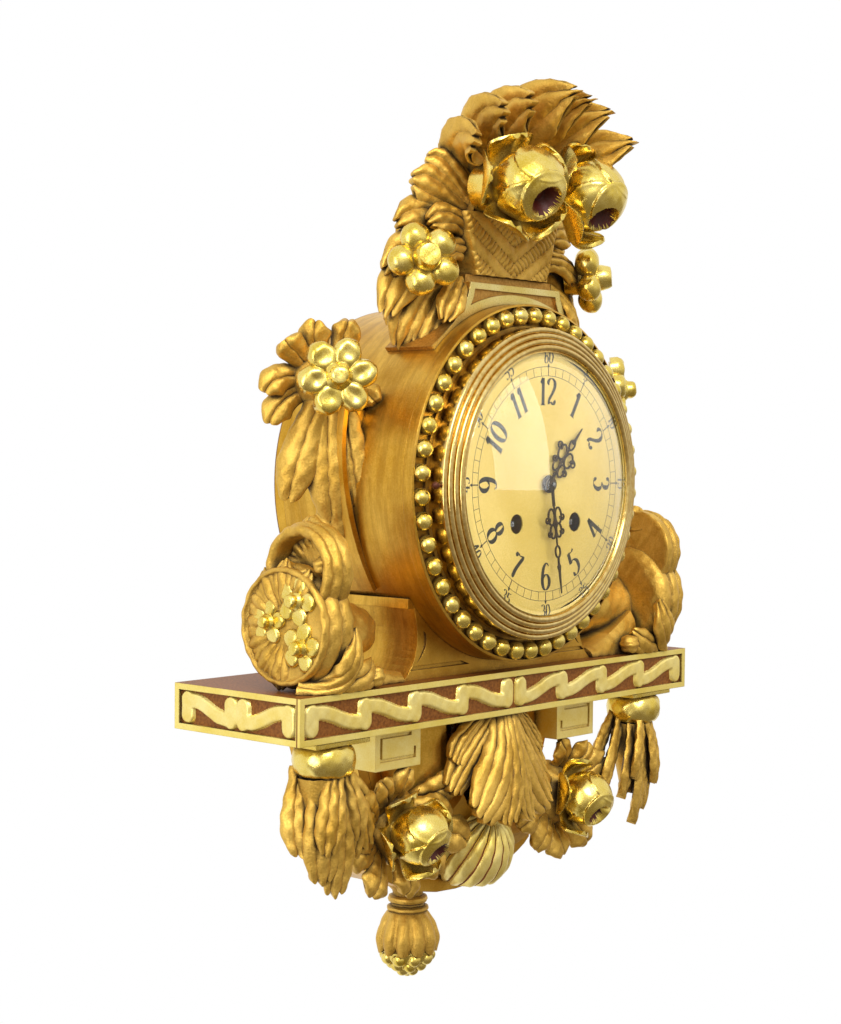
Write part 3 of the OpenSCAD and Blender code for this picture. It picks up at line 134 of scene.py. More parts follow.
def smoothPath(points, each):  # a rounded path through points
    p = np.array(points, float)
    n = len(p)
    out = []
    for i in range(n - 1):
        a, b, c, d = [p[min(max(i + k, 0), n - 1)] for k in (-1, 0, 1, 2)]
        t = (np.arange(each) / each)[:, None]
        out.append(0.5 * (2 * b + (c - a) * t + (2 * a - 5 * b + 4 * c - d) * t ** 2
                          + (3 * b - a - 3 * c + d) * t ** 3))
    return np.concatenate(out + [p[-1:]])


def lathe(profile, axis="y", at=(0, 0, 0), steps=96, ripple=None, closed=False):
    prof = np.array(profile, float)
    a = np.linspace(0, 2 * math.pi, steps, endpoint=False)[None, :]
    r, h = prof[:, 0][:, None] + 0 * a, prof[:, 1][:, None] + 0 * a
    if ripple:
        r, h = ripple(r, h, a)
    u, w = r * np.cos(a), r * np.sin(a)
    v = {"y": (u, -h, w), "z": (u, w, h), "x": (h, u, w)}[axis]
    verts = np.stack(v, -1).reshape(-1, 3) + np.array(at, float)
    faces = quads(len(prof), steps, closed)
    return [(verts, faces[:, ::-1] if axis == "x" else faces, 0)]


def ball(at, radius, shape=None, pole=(0, -1, 0), rows=48, cols=72, hollow=None):
    pole = unit(np.array(pole, float))
    side = unit(np.cross(pole, [0.3, 0.1, 0.9]))
    other = np.cross(pole, side)
    t = np.linspace(0, math.pi, rows)[:, None]
    a = np.linspace(0, 2 * math.pi, cols, endpoint=False)[None, :]
    way = (np.cos(t)[..., None] * pole + (np.sin(t) * np.cos(a))[..., None] * side
           + (np.sin(t) * np.sin(a))[..., None] * other)
    r = radius * (shape(way) if shape else np.ones(way.shape[:2]))
    verts = (np.array(at, float) + way * r[..., None]).reshape(-1, 3)
    faces = quads(rows, cols)
    slots = 0 if hollow is None else hollow(way).reshape(-1)[faces[:, 0]].astype(int)
    return [(verts, faces, slots)]


def capped(rings):  # rows of points, each a front and its back, closed at both ends
    rows, n = rings.shape[:2]
    j = np.arange(n // 2 - 1)
    ends = np.stack([j, j + 1, n - 2 - j, n - 1 - j], 1)
    faces = np.concatenate([quads(rows, n), ends, ends[:, ::-1] + (rows - 1) * n])
    return [(rings.reshape(-1, 3), faces, 0)]


# One carved leaf along a three-point curve: thick, fluted, cupped and widening to a scalloped tip
def leaf(points, face, width, thick, cup, root, flutes, depth, tip, close=0.5, wave=0, curl=0):
    p, face = np.array(points, float), np.array(face, float)
    rows, cols = 30, 29
    t, u = np.linspace(0, 1, rows)[:, None], np.linspace(-1, 1, cols)[None, :]
    ridge = np.abs(np.sin(math.pi * flutes * (u + 1) / 2)) ** 0.55 if flutes else 1 + 0 * u
    s = (t * (1 - tip * (1 - ridge) * t ** 2 - 0.08 * u ** 2 * t ** 2))[..., None]
    centre = (1 - s) ** 2 * p[0] + 2 * s * (1 - s) * p[1] + s ** 2 * p[2]
    along = unit((1 - s) * (p[1] - p[0]) + s * (p[2] - p[1]))
    normal = unit(face - (along @ face)[..., None] * along)
    side = np.cross(along, normal)
    start = root * (1 - t) ** 2
    swell = np.sin(math.pi / 2 * np.minimum(1, 1.35 * t)) ** 0.8
    form = (start + (1 - start) * swell) * (1 - close * np.clip((t - 0.68) / 0.32, 0, 1) ** 2)
    half = width / 2 * form
    base = cup * half * (1 - u ** 2) + curl * np.clip(t - 0.6, 0, 1) ** 2 * 6.25
    frill = wave * np.sin(2.6 * math.pi * u + 4 * t) * t ** 2
    top = base + depth * (ridge - 1) * np.minimum(1, 1.4 * form) + frill
    low = base - thick * (0.35 + 0.65 * (1 - u ** 2)) * (0.4 + 0.6 * form)
    across = centre + side * (half * u)[..., None]
    ring = np.concatenate([across + normal * top[..., None], (across + normal * low[..., None])[:, ::-1]], 1)
    return capped(ring)


def backed(front, back):  # a solid between a carved front, given as a grid of points, and a flat back
    rear = front[:, ::-1].copy()
    rear[..., 1] = -back
    return capped(np.concatenate([front, rear], 1))


def leaves(rows, at, face, **how):  # a row holds a leaf's three points, its width and what else differs in it
    parts = []
    for row in rows:
        more = dict(how, **(row[10] if len(row) > 10 else {}))
        parts += leaf(np.reshape(row[:9], (3, 3)) + at, more.pop("face", face), row[9], **more)
    return parts


def heading(path, closed):
    return unit(np.roll(path, -1, 0) - np.roll(path, 1, 0) if closed else np.gradient(path, axis=0))


# A flat band in the dial's plane with softened upper edges; the path is in x and z
def band(path, width, low, high, closed, soft):
    p = np.array(path, float)
    w = (np.zeros(len(p)) + width) / 2
    way = heading(p, closed)
    left = np.stack([-way[:, 1], way[:, 0]], 1)
    soft = min(soft, 0.45 * (high - low), 0.4 * float(w.min()) + 1e-6)
    section = [(1, low), (1, high - soft), (None, high), (-2, high), (-1, high - soft), (-1, low)]
    rings = []
    for k, y in section:
        reach = {1: w, None: w - soft, -2: soft - w, -1: -w}[k]
        q = p + left * reach[:, None]
        rings.append(np.stack([q[:, 0], np.full(len(q), -y), q[:, 1]], 1))
    verts = np.stack(rings, 1)
    faces = quads(len(p), 6, closed)
    if not closed:
        first = np.array([[0, 1, 4, 5], [1, 2, 3, 4]])
        last = first[:, ::-1] + (len(p) - 1) * 6
        faces = np.concatenate([faces, first, last])
    return [(verts.reshape(-1, 3), faces, 0)]


def turnedTo(parts, facing, spin, at):  # parts drawn facing -y are turned to face another way
    facing = unit(np.array(facing, float))
    zed = unit(np.array([0, 0, 1.0]) - facing[2] * facing)
    turn = np.stack([np.cross(-facing, zed), -facing, zed], 1)
    c, s = math.cos(spin), math.sin(spin)
    roll = np.array([[c, 0, s], [0, 1, 0], [-s, 0, c]])
    return [(v @ roll.T @ turn.T + np.array(at, float), f, k) for v, f, k in parts]


# A thick rounded petal lying in x and z, facing -y; out is its direction from the middle
def petal(out, middle, longR, wideR, height, hollow, deep):
    r = np.concatenate([np.linspace(0, 1, 11), [1.0, 0.0]])[:, None]
    a = np.linspace(0, 2 * math.pi, 34, endpoint=False)[None, :]
    h = height * (np.sqrt(np.maximum(0, 1 - r ** 3.2)) - hollow * np.exp(-(r / 0.5) ** 2)) + 0 * a
    h[-2:] = -deep
    e = 1 + 0.1 * np.cos(a)
    u, w = middle + longR * r * np.cos(a) * e, wideR * r * np.sin(a) * e
    c, s = math.cos(out), math.sin(out)
    verts = np.stack([u * c - w * s, -h, u * s + w * c], -1)
    return [(verts.reshape(-1, 3), quads(len(r), a.shape[1]), 0)]


def flower(radius, longR, wideR, height, button, petals, hollow, spin):  # sizes are shares of its radius
    parts = []
    for k in range(petals):
        parts += petal(2 * math.pi * k / petals + spin, 0.62 * radius, longR * radius, wideR * radius,
                       height * radius, hollow, 0.25 * radius)
    b = button * radius
    parts += lathe([(0, -0.2 * radius), (1.5 * b, -0.2 * radius), (1.35 * b, 0.2 * radius), (b, 0.3 * radius),
                    (b, 0.42 * radius), (0.93 * b, 0.5 * radius), (0.75 * b, 0.56 * radius),
                    (0.4 * b, 0.58 * radius), (0, 0.57 * radius)], steps=40)
    return parts


print("tools ready")


def material(name):
    made = bpy.data.materials.new(name)
    made.use_nodes = True
    made.node_tree.nodes.clear()
    add = nodeAdder(made.node_tree)
    return made, add, add("TexCoord")["Object"]


# Gold leaf: mottled colour, rounded edges rubbed through to the red bole, patina and painted shade in the
# hollows
def gilding(name, look):
    made, add, place = material(name)
    large, low, wear, fine, fleck = [
        add("TexNoise", {"Vector": place, "Scale": 1000 / size, "Detail": detail, "Roughness": rough})[0]
        for size, detail, rough in ((look["patch"], 3, 0.55), (look["grain"] * 4, 3, 0.55), (9, 3, 0.55),
                                    (look["grain"], 5, 0.65), (5.5, 6, 0.7))]
    mottle = add("MapRange", {0: add("Mix", {0: 0.4, 2: large, 3: fine})[0], 1: 0.36, 2: 0.64})[0]
    leafGold = add("Mix", {0: mottle, 6: look["low"], 7: look["high"]}, data_type="RGBA")[2]
    if "streak" in look:  # brush lines that run round the case
        drawn = add("Mapping", {0: place, 3: (1.0, look["streak"], 1.0)})[0]
        lines = add("TexNoise", {"Vector": drawn, "Scale": 1000 / 42, "Detail": 4, "Roughness": 0.7})[0]
        lines = add("MapRange", {0: lines, 1: 0.42, 2: 0.62, 4: 0.4})[0]
        leafGold = add("Mix", {0: lines, 6: leafGold, 7: look["shade"]}, data_type="RGBA")[2]
    rounded = add("Bevel", {"Radius": look["round"] * mm}, samples=4)[0]
    flat = add("NewGeometry")["Normal"]
    turn = add("VectorMath", {0: rounded, 1: flat}, operation="DOT_PRODUCT")["Value"]
    edge = add("MapRange", {0: turn, 1: 0.99, 2: 0.86})[0]
    worn = add("MapRange", {0: wear, 1: 0.45, 2: 0.62})[0]
    rub = add("Math", {0: edge, 1: worn}, operation="MULTIPLY")[0]
    spots = add("MapRange", {0: fleck, 1: 0.66, 2: 0.74, 4: 0.7})[0]
    bare = add("Math", {0: rub, 1: spots}, operation="MAXIMUM")[0]
    bole = add("Math", {0: bare, 1: look["worn"]}, operation="MULTIPLY")[0]
    # Ambient occlusion darkens the hollows: painted shade there, mixed with the real patina colour
    free = add("AmbientOcclusion", {"Distance": look["deep"] * mm}, samples=6)["AO"]
    free = add("Math", {0: fine, 1: 0.25, 2: free}, operation="MULTIPLY_ADD")[0]
    hollow = add("MapRange", {0: free, 1: look["dark"][0], 2: look["dark"][1]})[0]
    colour = add("Mix", {0: bole, 6: leafGold, 7: look["bole"]}, data_type="RGBA")[2]
    colour = add("Mix", {0: hollow, 6: colour, 7: look["patinaAndShade"]}, data_type="RGBA")[2]
    # The painted shade and patina of the hollows also make them rougher and less metallic
    dirtAndShade = add("Math", {0: hollow, 1: 0.85}, operation="MULTIPLY")[0]
    red = add("Math", {0: bole, 1: 0.8}, operation="MULTIPLY")[0]
    cover = add("Math", {0: dirtAndShade, 1: red}, operation="MAXIMUM")[0]
    height = add("Math", {0: fine, 1: 0.5, 2: low}, operation="MULTIPLY_ADD")[0]
    bump = add("Bump", {"Strength": look["bump"], "Distance": 0.0006, "Height": height, "Normal": rounded})[0]
    gloss = add("MapRange", {0: fine, 1: 0.35, 2: 0.65, 3: look["gloss"][0], 4: look["gloss"][1]})[0]
    gloss = add("Math", {0: cover, 1: 0.3, 2: gloss}, operation="MULTIPLY_ADD")[0]
    metal = add("Math", {0: cover, 1: -look["metal"], 2: look["metal"]}, operation="MULTIPLY_ADD")[0]
    add("OutputMaterial", {"Surface": add("BsdfPrincipled", {
        "Base Color": colour, "Metallic": metal, "Roughness": gloss, "Normal": bump})[0]})
    return made


# Tints and shares; patch, grain, round (the rubbed edge) and deep (how far the painted shade of the hollows,
# with their patina, reaches) are in mm; dark is the span of that painted shade
baseLook = {"shade": "9A6C22", "bole": "7A3517", "patinaAndShade": "3A2208", "patch": 26, "grain": 1.1, "round": 0.6,
            "worn": 0.8, "deep": 7, "dark": (0.78, 0.5), "metal": 1.0}
satinLook = dict(baseLook, gloss=(0.3, 0.42), bump=0.22, worn=0.6)
# Satin water gilding: an orange gold with a soft sheen, seen on the case, wings, base and corbel
satinGilding = gilding("satin_water_gilding", dict(
    satinLook, low="C6922A", high="ECBE54", streak=7.0, dark=(0.66, 0.4)))
# Matte antique gilding: bronze gold with an olive brown patina and a strong painted shade that draw every flute
antiqueGilding = gilding("antique_matte_gilding", dict(
    baseLook, low="C09436", high="ECC25E", patinaAndShade="3C2A0C", bump=0.6, gloss=(0.38, 0.54), dark=(0.98, 0.56),
    metal=0.85))
# Burnished gilding: pale bright yellow gold with sharp lights
brightGilding = gilding("burnished_gilding", dict(
    baseLook, low="DFBF48", high="F6DF84", patinaAndShade="6A4A10", patch=14, gloss=(0.2, 0.3), bump=0.08,
    dark=(0.74, 0.4), worn=0.4))
# Paler burnished gilding: the ivory gold of the shell's lobes, the fret and the tabs
paleGilding = gilding("pale_ivory_gilding", dict(
    baseLook, low="EFD266", high="FDEA98", patinaAndShade="8A5E14", patch=14, gloss=(0.3, 0.42), bump=0.1,
    dark=(0.6, 0.3), worn=0.3, metal=0.7))
# Red-brown bole left in the lines between lobes
lineBole = gilding("red_brown_lines", dict(
    baseLook, low="7A3A16", high="96541F", patinaAndShade="4A1E0A", metal=0.3, gloss=(0.45, 0.6), bump=0.35))
# Red bole in a rose's hollow, darkened further as painted shade of the hollow, nearly matte
redBoleAndShade = gilding("red_bole_hollow_painted_shade", dict(
    baseLook, low="3E1006", high="5C1C0C", patinaAndShade="180502", metal=0.1, gloss=(0.4, 0.55), bump=0.35))
print("gilding ready")


# One gilding where a place mask is 0 and another finish where it is 1
def fenced(name, look, mask, other):
    made = gilding(name, look)
    tree = made.node_tree
    add = nodeAdder(tree)
    place = next(n for n in tree.nodes if n.bl_idname == "ShaderNodeTexCoord").outputs["Object"]
    shine = next(n for n in tree.nodes if n.bl_idname == "ShaderNodeBsdfPrincipled").inputs
    where = mask(add, add("SeparateXYZ", {0: place}))
    stipple = add("TexNoise", {"Vector": place, "Scale": 1000 / 1.6, "Detail": 4, "Roughness": 0.7})[0]
    stipple = add("MapRange", {0: stipple, 1: 0.35, 2: 0.65})[0]
    ground = add("Mix", {0: stipple, 6: other["low"], 7: other["high"]}, data_type="RGBA")[2]
    was = shine["Base Color"].links[0].from_socket
    tree.links.new(add("Mix", {0: where, 6: was, 7: ground}, data_type="RGBA")[2], shine["Base Color"])
    for name, value in (("Metallic", other["metal"]), ("Roughness", other["rough"])):
        was = shine[name].links[0].from_socket
        tree.links.new(add("Mix", {0: where, 2: was, 3: value})[0], shine[name])
    return made


def between(add, value, low, high, soft=0.2):  # 1 from low to high, in mm, with soft ends
    rise = add("MapRange", {0: value, 1: (low - soft) * mm, 2: (low + soft) * mm})[0]
    fall = add("MapRange", {0: value, 1: (high + soft) * mm, 2: (high - soft) * mm})[0]
    return add("Math", {0: rise, 1: fall}, operation="MULTIPLY")[0]


# The shelf: a darker rubbed top, bright flat borders and a brown-red stippled ground in the friezes
frieze = {"front": (-101.5, -100.5), "end": (187.2, 188.0, 0.1), "endHigh": (-140.45, -120.55),
          "endDeep": (-99.9, -3.6)}


def friezeGround(add, xyz):
    across = add("Math", {0: xyz[0]}, operation="ABSOLUTE")[0]
    ends = between(add, across, *frieze["end"])
    for value, reach in ((xyz[2], frieze["endHigh"]), (xyz[1], frieze["endDeep"])):
        ends = add("Math", {0: ends, 1: between(add, value, *reach)}, operation="MULTIPLY")[0]
    ground = add("MapRange", {0: xyz[2], 1: -0.11706, 2: -0.11702})[0]
    for part in (between(add, xyz[1], *frieze["front"]), ends):
        ground = add("Math", {0: ground, 1: part}, operation="MAXIMUM")[0]
    return ground


shelfGilding = fenced("rubbed_shelf_gilding", dict(
    baseLook, low="ECD05C", high="FCE88C", gloss=(0.3, 0.42), bump=0.1, worn=0.6, metal=0.7), friezeGround,
    {"low": "6E3E14", "high": "9E642A", "metal": 0.6, "rough": 0.5})
# The back board: its edge gilded like the case, its back bare oiled softwood
boardGilding = fenced("gilded_board_with_bare_back", dict(satinLook, low="C08C22", high="E6B648"),
                      lambda add, xyz: add("MapRange", {0: xyz[1], 1: -0.0009, 2: -0.0006})[0],
                      {"low": "6B4526", "high": "A0713F", "metal": 0.0, "rough": 0.6})
# The crest block: burnished raised frame, matte panel sunk inside it
crestGilding = fenced("crest_panel_gilding", dict(
    baseLook, low="E4CA6C", high="F6E49C", gloss=(0.26, 0.38), bump=0.1, worn=0.5),
    lambda add, xyz: add("MapRange", {0: xyz[1], 1: -0.0992, 2: -0.0988})[0],
    {"low": "A87832", "high": "CC9E4E", "metal": 0.85, "rough": 0.45})


# Metals, lacquers and inks: two tints mixed by a grain in mm, a range of roughness and a fine bump
def plain(name, low, high, grain, gloss, metal=1.0, bump=0.15, patch=30, along=None):
    made, add, place = material(name)
    if along:  # grain or brushing drawn out along one way
        place = add("Mapping", {0: place, 3: along})[0]
    fine, large = [
        add("TexNoise", {"Vector": place, "Scale": 1000 / size, "Detail": detail, "Roughness": rough})[0]
        for size, detail, rough in ((grain, 4, 0.6), (patch, 3, 0.55))]
    mottle = add("MapRange", {0: add("Mix", {0: 0.5, 2: fine, 3: large})[0], 1: 0.4, 2: 0.6})[0]
    colour = add("Mix", {0: mottle, 6: low, 7: high}, data_type="RGBA")[2]
    rough = add("MapRange", {0: fine, 1: 0.35, 2: 0.65, 3: gloss[0], 4: gloss[1]})[0]
    relief = add("Bump", {"Strength": bump, "Distance": 0.0003, "Height": fine})[0]
    add("OutputMaterial", {"Surface": add("BsdfPrincipled", {
        "Base Color": colour, "Metallic": metal, "Roughness": rough, "Normal": relief})[0]})
    return made


# Polished brass of the bezel: warm pale gold, clean lights
polishedBrass = plain("polished_brass", "D4B164", "EBD08A", 3, (0.12, 0.24), bump=0.06)
# Movement brass: duller, brushed plates and wheels
clockBrass = plain("brushed_clock_brass", "A8823C", "C9A45A", 2, (0.28, 0.42), bump=0.2, along=(1, 1, 9))
# Turned clock steel: grey, fine lines round the arbors
clockSteel = plain("turned_clock_steel", "85868A", "B4B5B8", 1.5, (0.2, 0.35), along=(1, 6, 1))
# Blued spring steel of the gong
bluedSteel = plain("blued_gong_steel", "1E2636", "39435A", 4, (0.25, 0.4))
# Dull zinc plate on the back
zincPlate = plain("dull_zinc_plate", "7E807F", "A2A4A2", 6, (0.4, 0.55))
# Champagne gold lacquer of the dial, silky and nearly even
dialLacquer = plain("champagne_dial_lacquer", "D2AF50", "E2C36E", 0.8, (0.34, 0.42), 0.25, 0.05, 60)
# Black printing of the numerals, slightly glossy
dialInk = plain("black_dial_ink", "17130E", "262018", 2, (0.35, 0.45), 0.0)
# Dark bronzed hands with a warm edge
handBronze = plain("dark_bronzed_hands", "2C2011", "4A371E", 2, (0.3, 0.45), 0.7)
# Browned pull pin
pinBrown = plain("browned_pin", "4A200C", "6E3516", 2, (0.3, 0.4), 0.4)


# Clear glass: almost smooth; shadow rays pass so the dial stays bright
def clearGlass():
    made, add, place = material("clear_domed_glass")
    film = add("TexNoise", {"Vector": place, "Scale": 1000 / 60, "Detail": 3, "Roughness": 0.55})[0]
    tint = add("Mix", {0: film, 6: "F4F8F7", 7: "FFFFFF"}, data_type="RGBA")[2]
    smear = add("MapRange", {0: film, 1: 0.3, 2: 0.7, 4: 0.02})[0]
    solid = add("BsdfPrincipled", {"Base Color": tint, "Metallic": 0.0, "Roughness": smear, "IOR": 1.5,
                                   "Transmission Weight": 1.0})[0]
    through = add("BsdfTransparent", {"Color": "F2F6F4"})[0]
    mixed = add("MixShader", {0: add("LightPath")["Is Shadow Ray"], 1: solid, 2: through})[0]
    add("OutputMaterial", {"Surface": mixed})
    return made


domeGlass = clearGlass()
finishes = {
    satinGilding: "drum_case front_ring base_block belly corbel wings",
    antiqueGilding: "basket plume crest_leaves_left crest_leaves_right husks scroll_left scroll_right drapes "
                    "garlands centre_leaf finial_cup",
    paleGilding: "fret_tabs",
    brightGilding: "beads shelf_fret ring_caps garland_roses shell_cup finial_berry crest_flowers crest_roses "
                   "side_flowers scroll_flowers",
    crestGilding: "crest_block", shelfGilding: "shelf", boardGilding: "back_board",
    polishedBrass: "bezel bezel_hinge dial_pan pendulum_bob",
    clockBrass: "front_plate back_plate time_barrel strike_barrel intermediate_wheel third_wheel escape_wheel "
                "minute_wheel hour_wheel",
    clockSteel: "time_arbor strike_arbor centre_arbor pallet_anchor pendulum strike_hammer",
    dialLacquer: "dial", handBronze: "minute_hand hour_hand", domeGlass: "glass", pinBrown: "pull_pin",
    bluedSteel: "gong", zincPlate: "back_cover hanger_plate cover_screws hanger_screws"}
for finish, names in finishes.items():
    for name in names.split():
        for slot in nodes[name].material_slots:
            slot.material = finish
print("materials ready")

case = {"beadFloor": 110.4, "shelfZ": -117, "shelfLow": -144, "shelfD": 103.5, "corbelD": 56, "crestTop": 122,
        "crestNear": 62, "basketZ": 127}

# Beads: one domed bead, set 46 times round the ring by a node tree
beads = {"count": 46, "ringR": 103.3, "r": 5.7, "rise": 3.3}


def beadProfile():
    foot = math.asin(beads["rise"] / beads["r"])
    turn = np.linspace(-foot, math.pi / 2, 12)
    return [(0, 0)] + [(beads["r"] * math.cos(a), beads["rise"] + beads["r"] * math.sin(a)) for a in turn]


def beadTree():
    tree = bpy.data.node_groups.new("bead_row", "GeometryNodeTree")
    for name, kind in (("Geometry", "Geometry"), ("Bead", "Object"), ("Count", "Int"), ("Ring radius", "Float"),
                       ("Material", "Material")):
        tree.interface.new_socket(name, in_out="INPUT", socket_type="NodeSocket" + kind)
    tree.interface.new_socket("Geometry", in_out="OUTPUT", socket_type="NodeSocketGeometry")
    add = nodeAdder(tree)
    start = add("NodeGroupInput")
    ring = add("GeometryNodeMeshCircle", {"Vertices": start["Count"], "Radius": start["Ring radius"]})[0]
    turn = add("Math", {0: add("GeometryNodeInputIndex")[0], 1: 0.5}, operation="ADD")[0]
    turn = add("Math", {0: turn, 1: 2 * math.pi}, operation="MULTIPLY")[0]
    turn = add("Math", {0: turn, 1: start["Count"]}, operation="DIVIDE")[0]
    across, up = [add("Math", {0: turn}, operation=way)[0] for way in ("COSINE", "SINE")]
    across, up = [add("Math", {0: k, 1: start["Ring radius"]}, operation="MULTIPLY")[0] for k in (across, up)]
    spot = add("CombineXYZ", {0: across, 1: -case["beadFloor"] * mm, 2: up})[0]
    placed = add("GeometryNodeSetPosition", {"Geometry": ring, "Position": spot})[0]
    size = add("FunctionNodeRandomValue", {"Min": (0.97, 0.97, 0.95), "Max": (1.0, 1.0, 1.02), "Seed": 4},
               data_type="FLOAT_VECTOR")[0]
    shape = add("GeometryNodeObjectInfo", {"Object": start["Bead"]})["Geometry"]
    copies = add("GeometryNodeInstanceOnPoints", {"Points": placed, "Instance": shape, "Scale": size})[0]
    real = add("GeometryNodeRealizeInstances", {"Geometry": copies})[0]
    finish = add("GeometryNodeSetMaterial", {"Geometry": real, "Material": start["Material"]})[0]
    add("NodeGroupOutput", {"Geometry": finish})
    return tree


def makeBeads():
    mesh = bpy.data.meshes.new("bead_shape")
    verts, faces = lathe(beadProfile(), steps=36)[0][:2]
    mesh.from_pydata((verts * mm).tolist(), [], faces.tolist())
    bead = bpy.data.objects.new("bead_shape", mesh)
    carrier = bpy.data.objects.new("bead_carrier", bpy.data.meshes.new("bead_carrier"))
    for o in (bead, carrier):
        bpy.context.scene.collection.objects.link(o)
    rows = carrier.modifiers.new("rows", "NODES")
    rows.node_group = beadTree()
    sockets = {s.name: s.identifier for s in rows.node_group.interface.items_tree if s.in_out == "INPUT"}
    for name, value in (("Bead", bead), ("Count", beads["count"]), ("Ring radius", beads["ringR"] * mm),
                        ("Material", brightGilding)):
        rows[sockets[name]] = value
    done = carrier.evaluated_get(bpy.context.evaluated_depsgraph_get())
    mesh = bpy.data.meshes.new_from_object(done)
    for o in (bead, carrier):
        bpy.data.objects.remove(o)
    mesh.name = "bead_row"
    addPiece("bead_row", mesh, "case", "beads", 50)


makeBeads()
print("beads ready")


# The frieze: a fat running wave with upright risers and slanting joins, mirrored about the middle.
# Front and end: half length, first and last riser, joins, and the depth of the ground
fret = {"front": (186.2, 179.5, 6.6, 4, 101.1), "end": (48.0, 41.5, 5.0, 1, 187.6), "endY": 51.75, "amp": 4.4,
        "riser": 5.4, "slant": 4.5, "cell": 0.75, "high": 2.1, "sunk": 0.4, "soft": 1.1, "tall": 9.8}


def waveHeight(x, z, first, last, waves):
    pitch = (first - last) / waves
    inside = np.full(x.shape, -9.0)
    for k in range(waves + 1):
        at = first - k * pitch
        strokes = [((at, -fret["amp"]), (at, fret["amp"]), fret["riser"])]
        if k < waves:
            strokes.append(((at, fret["amp"]), (at - pitch, -fret["amp"]), fret["slant"]))
        for (x0, z0), (x1, z1), width in strokes:
            dx, dz = x1 - x0, z1 - z0
            t = np.clip(((x - x0) * dx + (z - z0) * dz) / (dx * dx + dz * dz), 0, 1)
            bend = 1.3 * np.sin(2 * math.pi * t) * (dx != 0)
            away = np.hypot(x - x0 - t * dx, z - z0 - t * dz - bend)
            inside = np.maximum(inside, width - away)
    rise = np.clip(inside / fret["soft"], 0, 1)
    return fret["high"] * (rise * (2 - rise)) - fret["sunk"] * (rise <= 0) + 0.1 * np.clip(inside / 4, 0, 1)


def makeFret():
    parts, middle = [], case["shelfLow"] + 13.5
    high = np.linspace(-fret["tall"], fret["tall"], 27)
    for reach, first, last, waves, ground in (fret["front"], fret["end"]):
        x, z = np.meshgrid(np.linspace(-reach, reach, int(2 * reach / fret["cell"])), high)
        up = ground + waveHeight(np.abs(x), z, first, last, waves)
        strip = backed(np.stack([x, -up, z], -1), ground - 1)
        if ground == fret["front"][4]:
            parts += [(v + (0, 0, middle), f, k) for v, f, k in strip]
        else:
            for side in (-1, 1):
                parts += [(np.stack([-side * v[:, 1], v[:, 0] - fret["endY"], v[:, 2] + middle], 1), f, k)
                          for v, f, k in strip]
    makePiece("frieze_fret", "shelf_fret", parts, paleGilding, 0.1, sharp=60)


makeFret()


# Cushion-shaped caps under the shelf's ends, each on a thin plate
cap = {"x": 153, "y": 86, "r": 18.5, "h": 18, "round": 9, "plate": 3.5, "plateX": 22, "plateWall": 18,
       "plateFront": 16}


def roundedBox(x0, x1, y0, y1, z0, z1, soft, corner):
    ring = []
    for cx, cy, a0 in ((x1, y1, 0), (x0, y1, 90), (x0, y0, 180), (x1, y0, 270)):
        for a in np.radians(np.linspace(a0, a0 + 90, 5)):
            ring.append((cx - np.sign(cx - (x0 + x1) / 2) * corner + corner * math.cos(a),
                         cy - np.sign(cy - (y0 + y1) / 2) * corner + corner * math.sin(a)))
    ring = np.array(ring)
    mid = np.array([(x0 + x1) / 2, (y0 + y1) / 2])
    rows = []
    inset = 1 - soft / 8
    for k, z in ((0.0, z0), (inset, z0), (1, z0 + soft), (1, z1 - soft), (inset, z1), (0.0, z1)):
        q = mid + (ring - mid) * k
        rows.append(np.column_stack([q, np.full(len(q), z)]))
    return [(np.concatenate(rows), quads(len(rows), len(ring)), 0)]


def makeCaps():
    low = case["shelfLow"] - cap["plate"] - cap["h"]
    bulge = [(cap["r"] - 5 + 5 * math.cos(a), cap["round"] + cap["round"] * math.sin(a))
             for a in np.linspace(-math.pi / 2, math.pi / 2, 19)]
    side = [(0, 0)] + bulge + [(0, cap["h"])]
    parts = lathe([(r, h + low) for r, h in side], "z", (-cap["x"], -cap["y"], 0), 72)
    parts += roundedBox(-cap["x"] - cap["plateX"], -cap["x"] + cap["plateX"], -cap["y"] - cap["plateFront"],
                        -cap["y"] + cap["plateWall"], case["shelfLow"] - cap["plate"], case["shelfLow"],
                        0.6, 1.5)
    makePiece("shelf_end_caps", "ring_caps", mirrored(parts), brightGilding, 0.3)


makeCaps()
print("shelf ready")


# A bunch of hanging leaves round a tapered core, under each cap
drape = {"thick": 7.5, "cup": 0.3, "root": 0.7, "flutes": 3, "depth": 1.9, "tip": 0.07, "close": 0.3}
drapeCore = [(0, -50), (6, -50), (11, -26), (15, -1), (0, -1)]


def makeDrapes():
    at = (-cap["x"], -cap["y"], case["shelfLow"] - 21.5)
    rows = [(-8, 8, 4, -16, 6, -20, -14, 2, -46, 23), (-4, -2, 4, -9, -10, -30, -5, -4, -62, 24),
            (0, -6, 4, 2, -14, -34, 5, -4, -71, 22), (5, -2, 4, 13, -10, -26, 18, -4, -52, 21),
            (9, 4, 4, 24, -4, -18, 36, 0, -48, 19), (11, 8, 4, 29, 4, -10, 41, 4, -30, 18),
            (-2, -10, 4, -8, -17, -20, -9, -12, -44, 19), (5, -10, 4, 10, -16, -18, 14, -12, -38, 18)]
    parts = leaves(rows, at, (-0.5, -1, 0), **drape)
    parts += lathe(drapeCore, "z", np.array(at) + (0, 2, 0), 40)
    makePiece("end_drapes", "drapes", mirrored(parts), antiqueGilding, 0.5)


makeDrapes()


# A rose: overlapping petals round a ball, a hollow in front lined with red bole darkened as painted shade, and
# wavy petals standing round it.
# Rings of petals: how many, how far they lean from the front and their half width, both in radians
rose = {"rings": ((3, 1.25, 1.12), (2, 0.62, 0.86)), "core": 0.82, "hollow": 0.89, "dark": 0.903}
rosePeg = [(0, -36), (14, -36), (14, -6), (0, -6)]


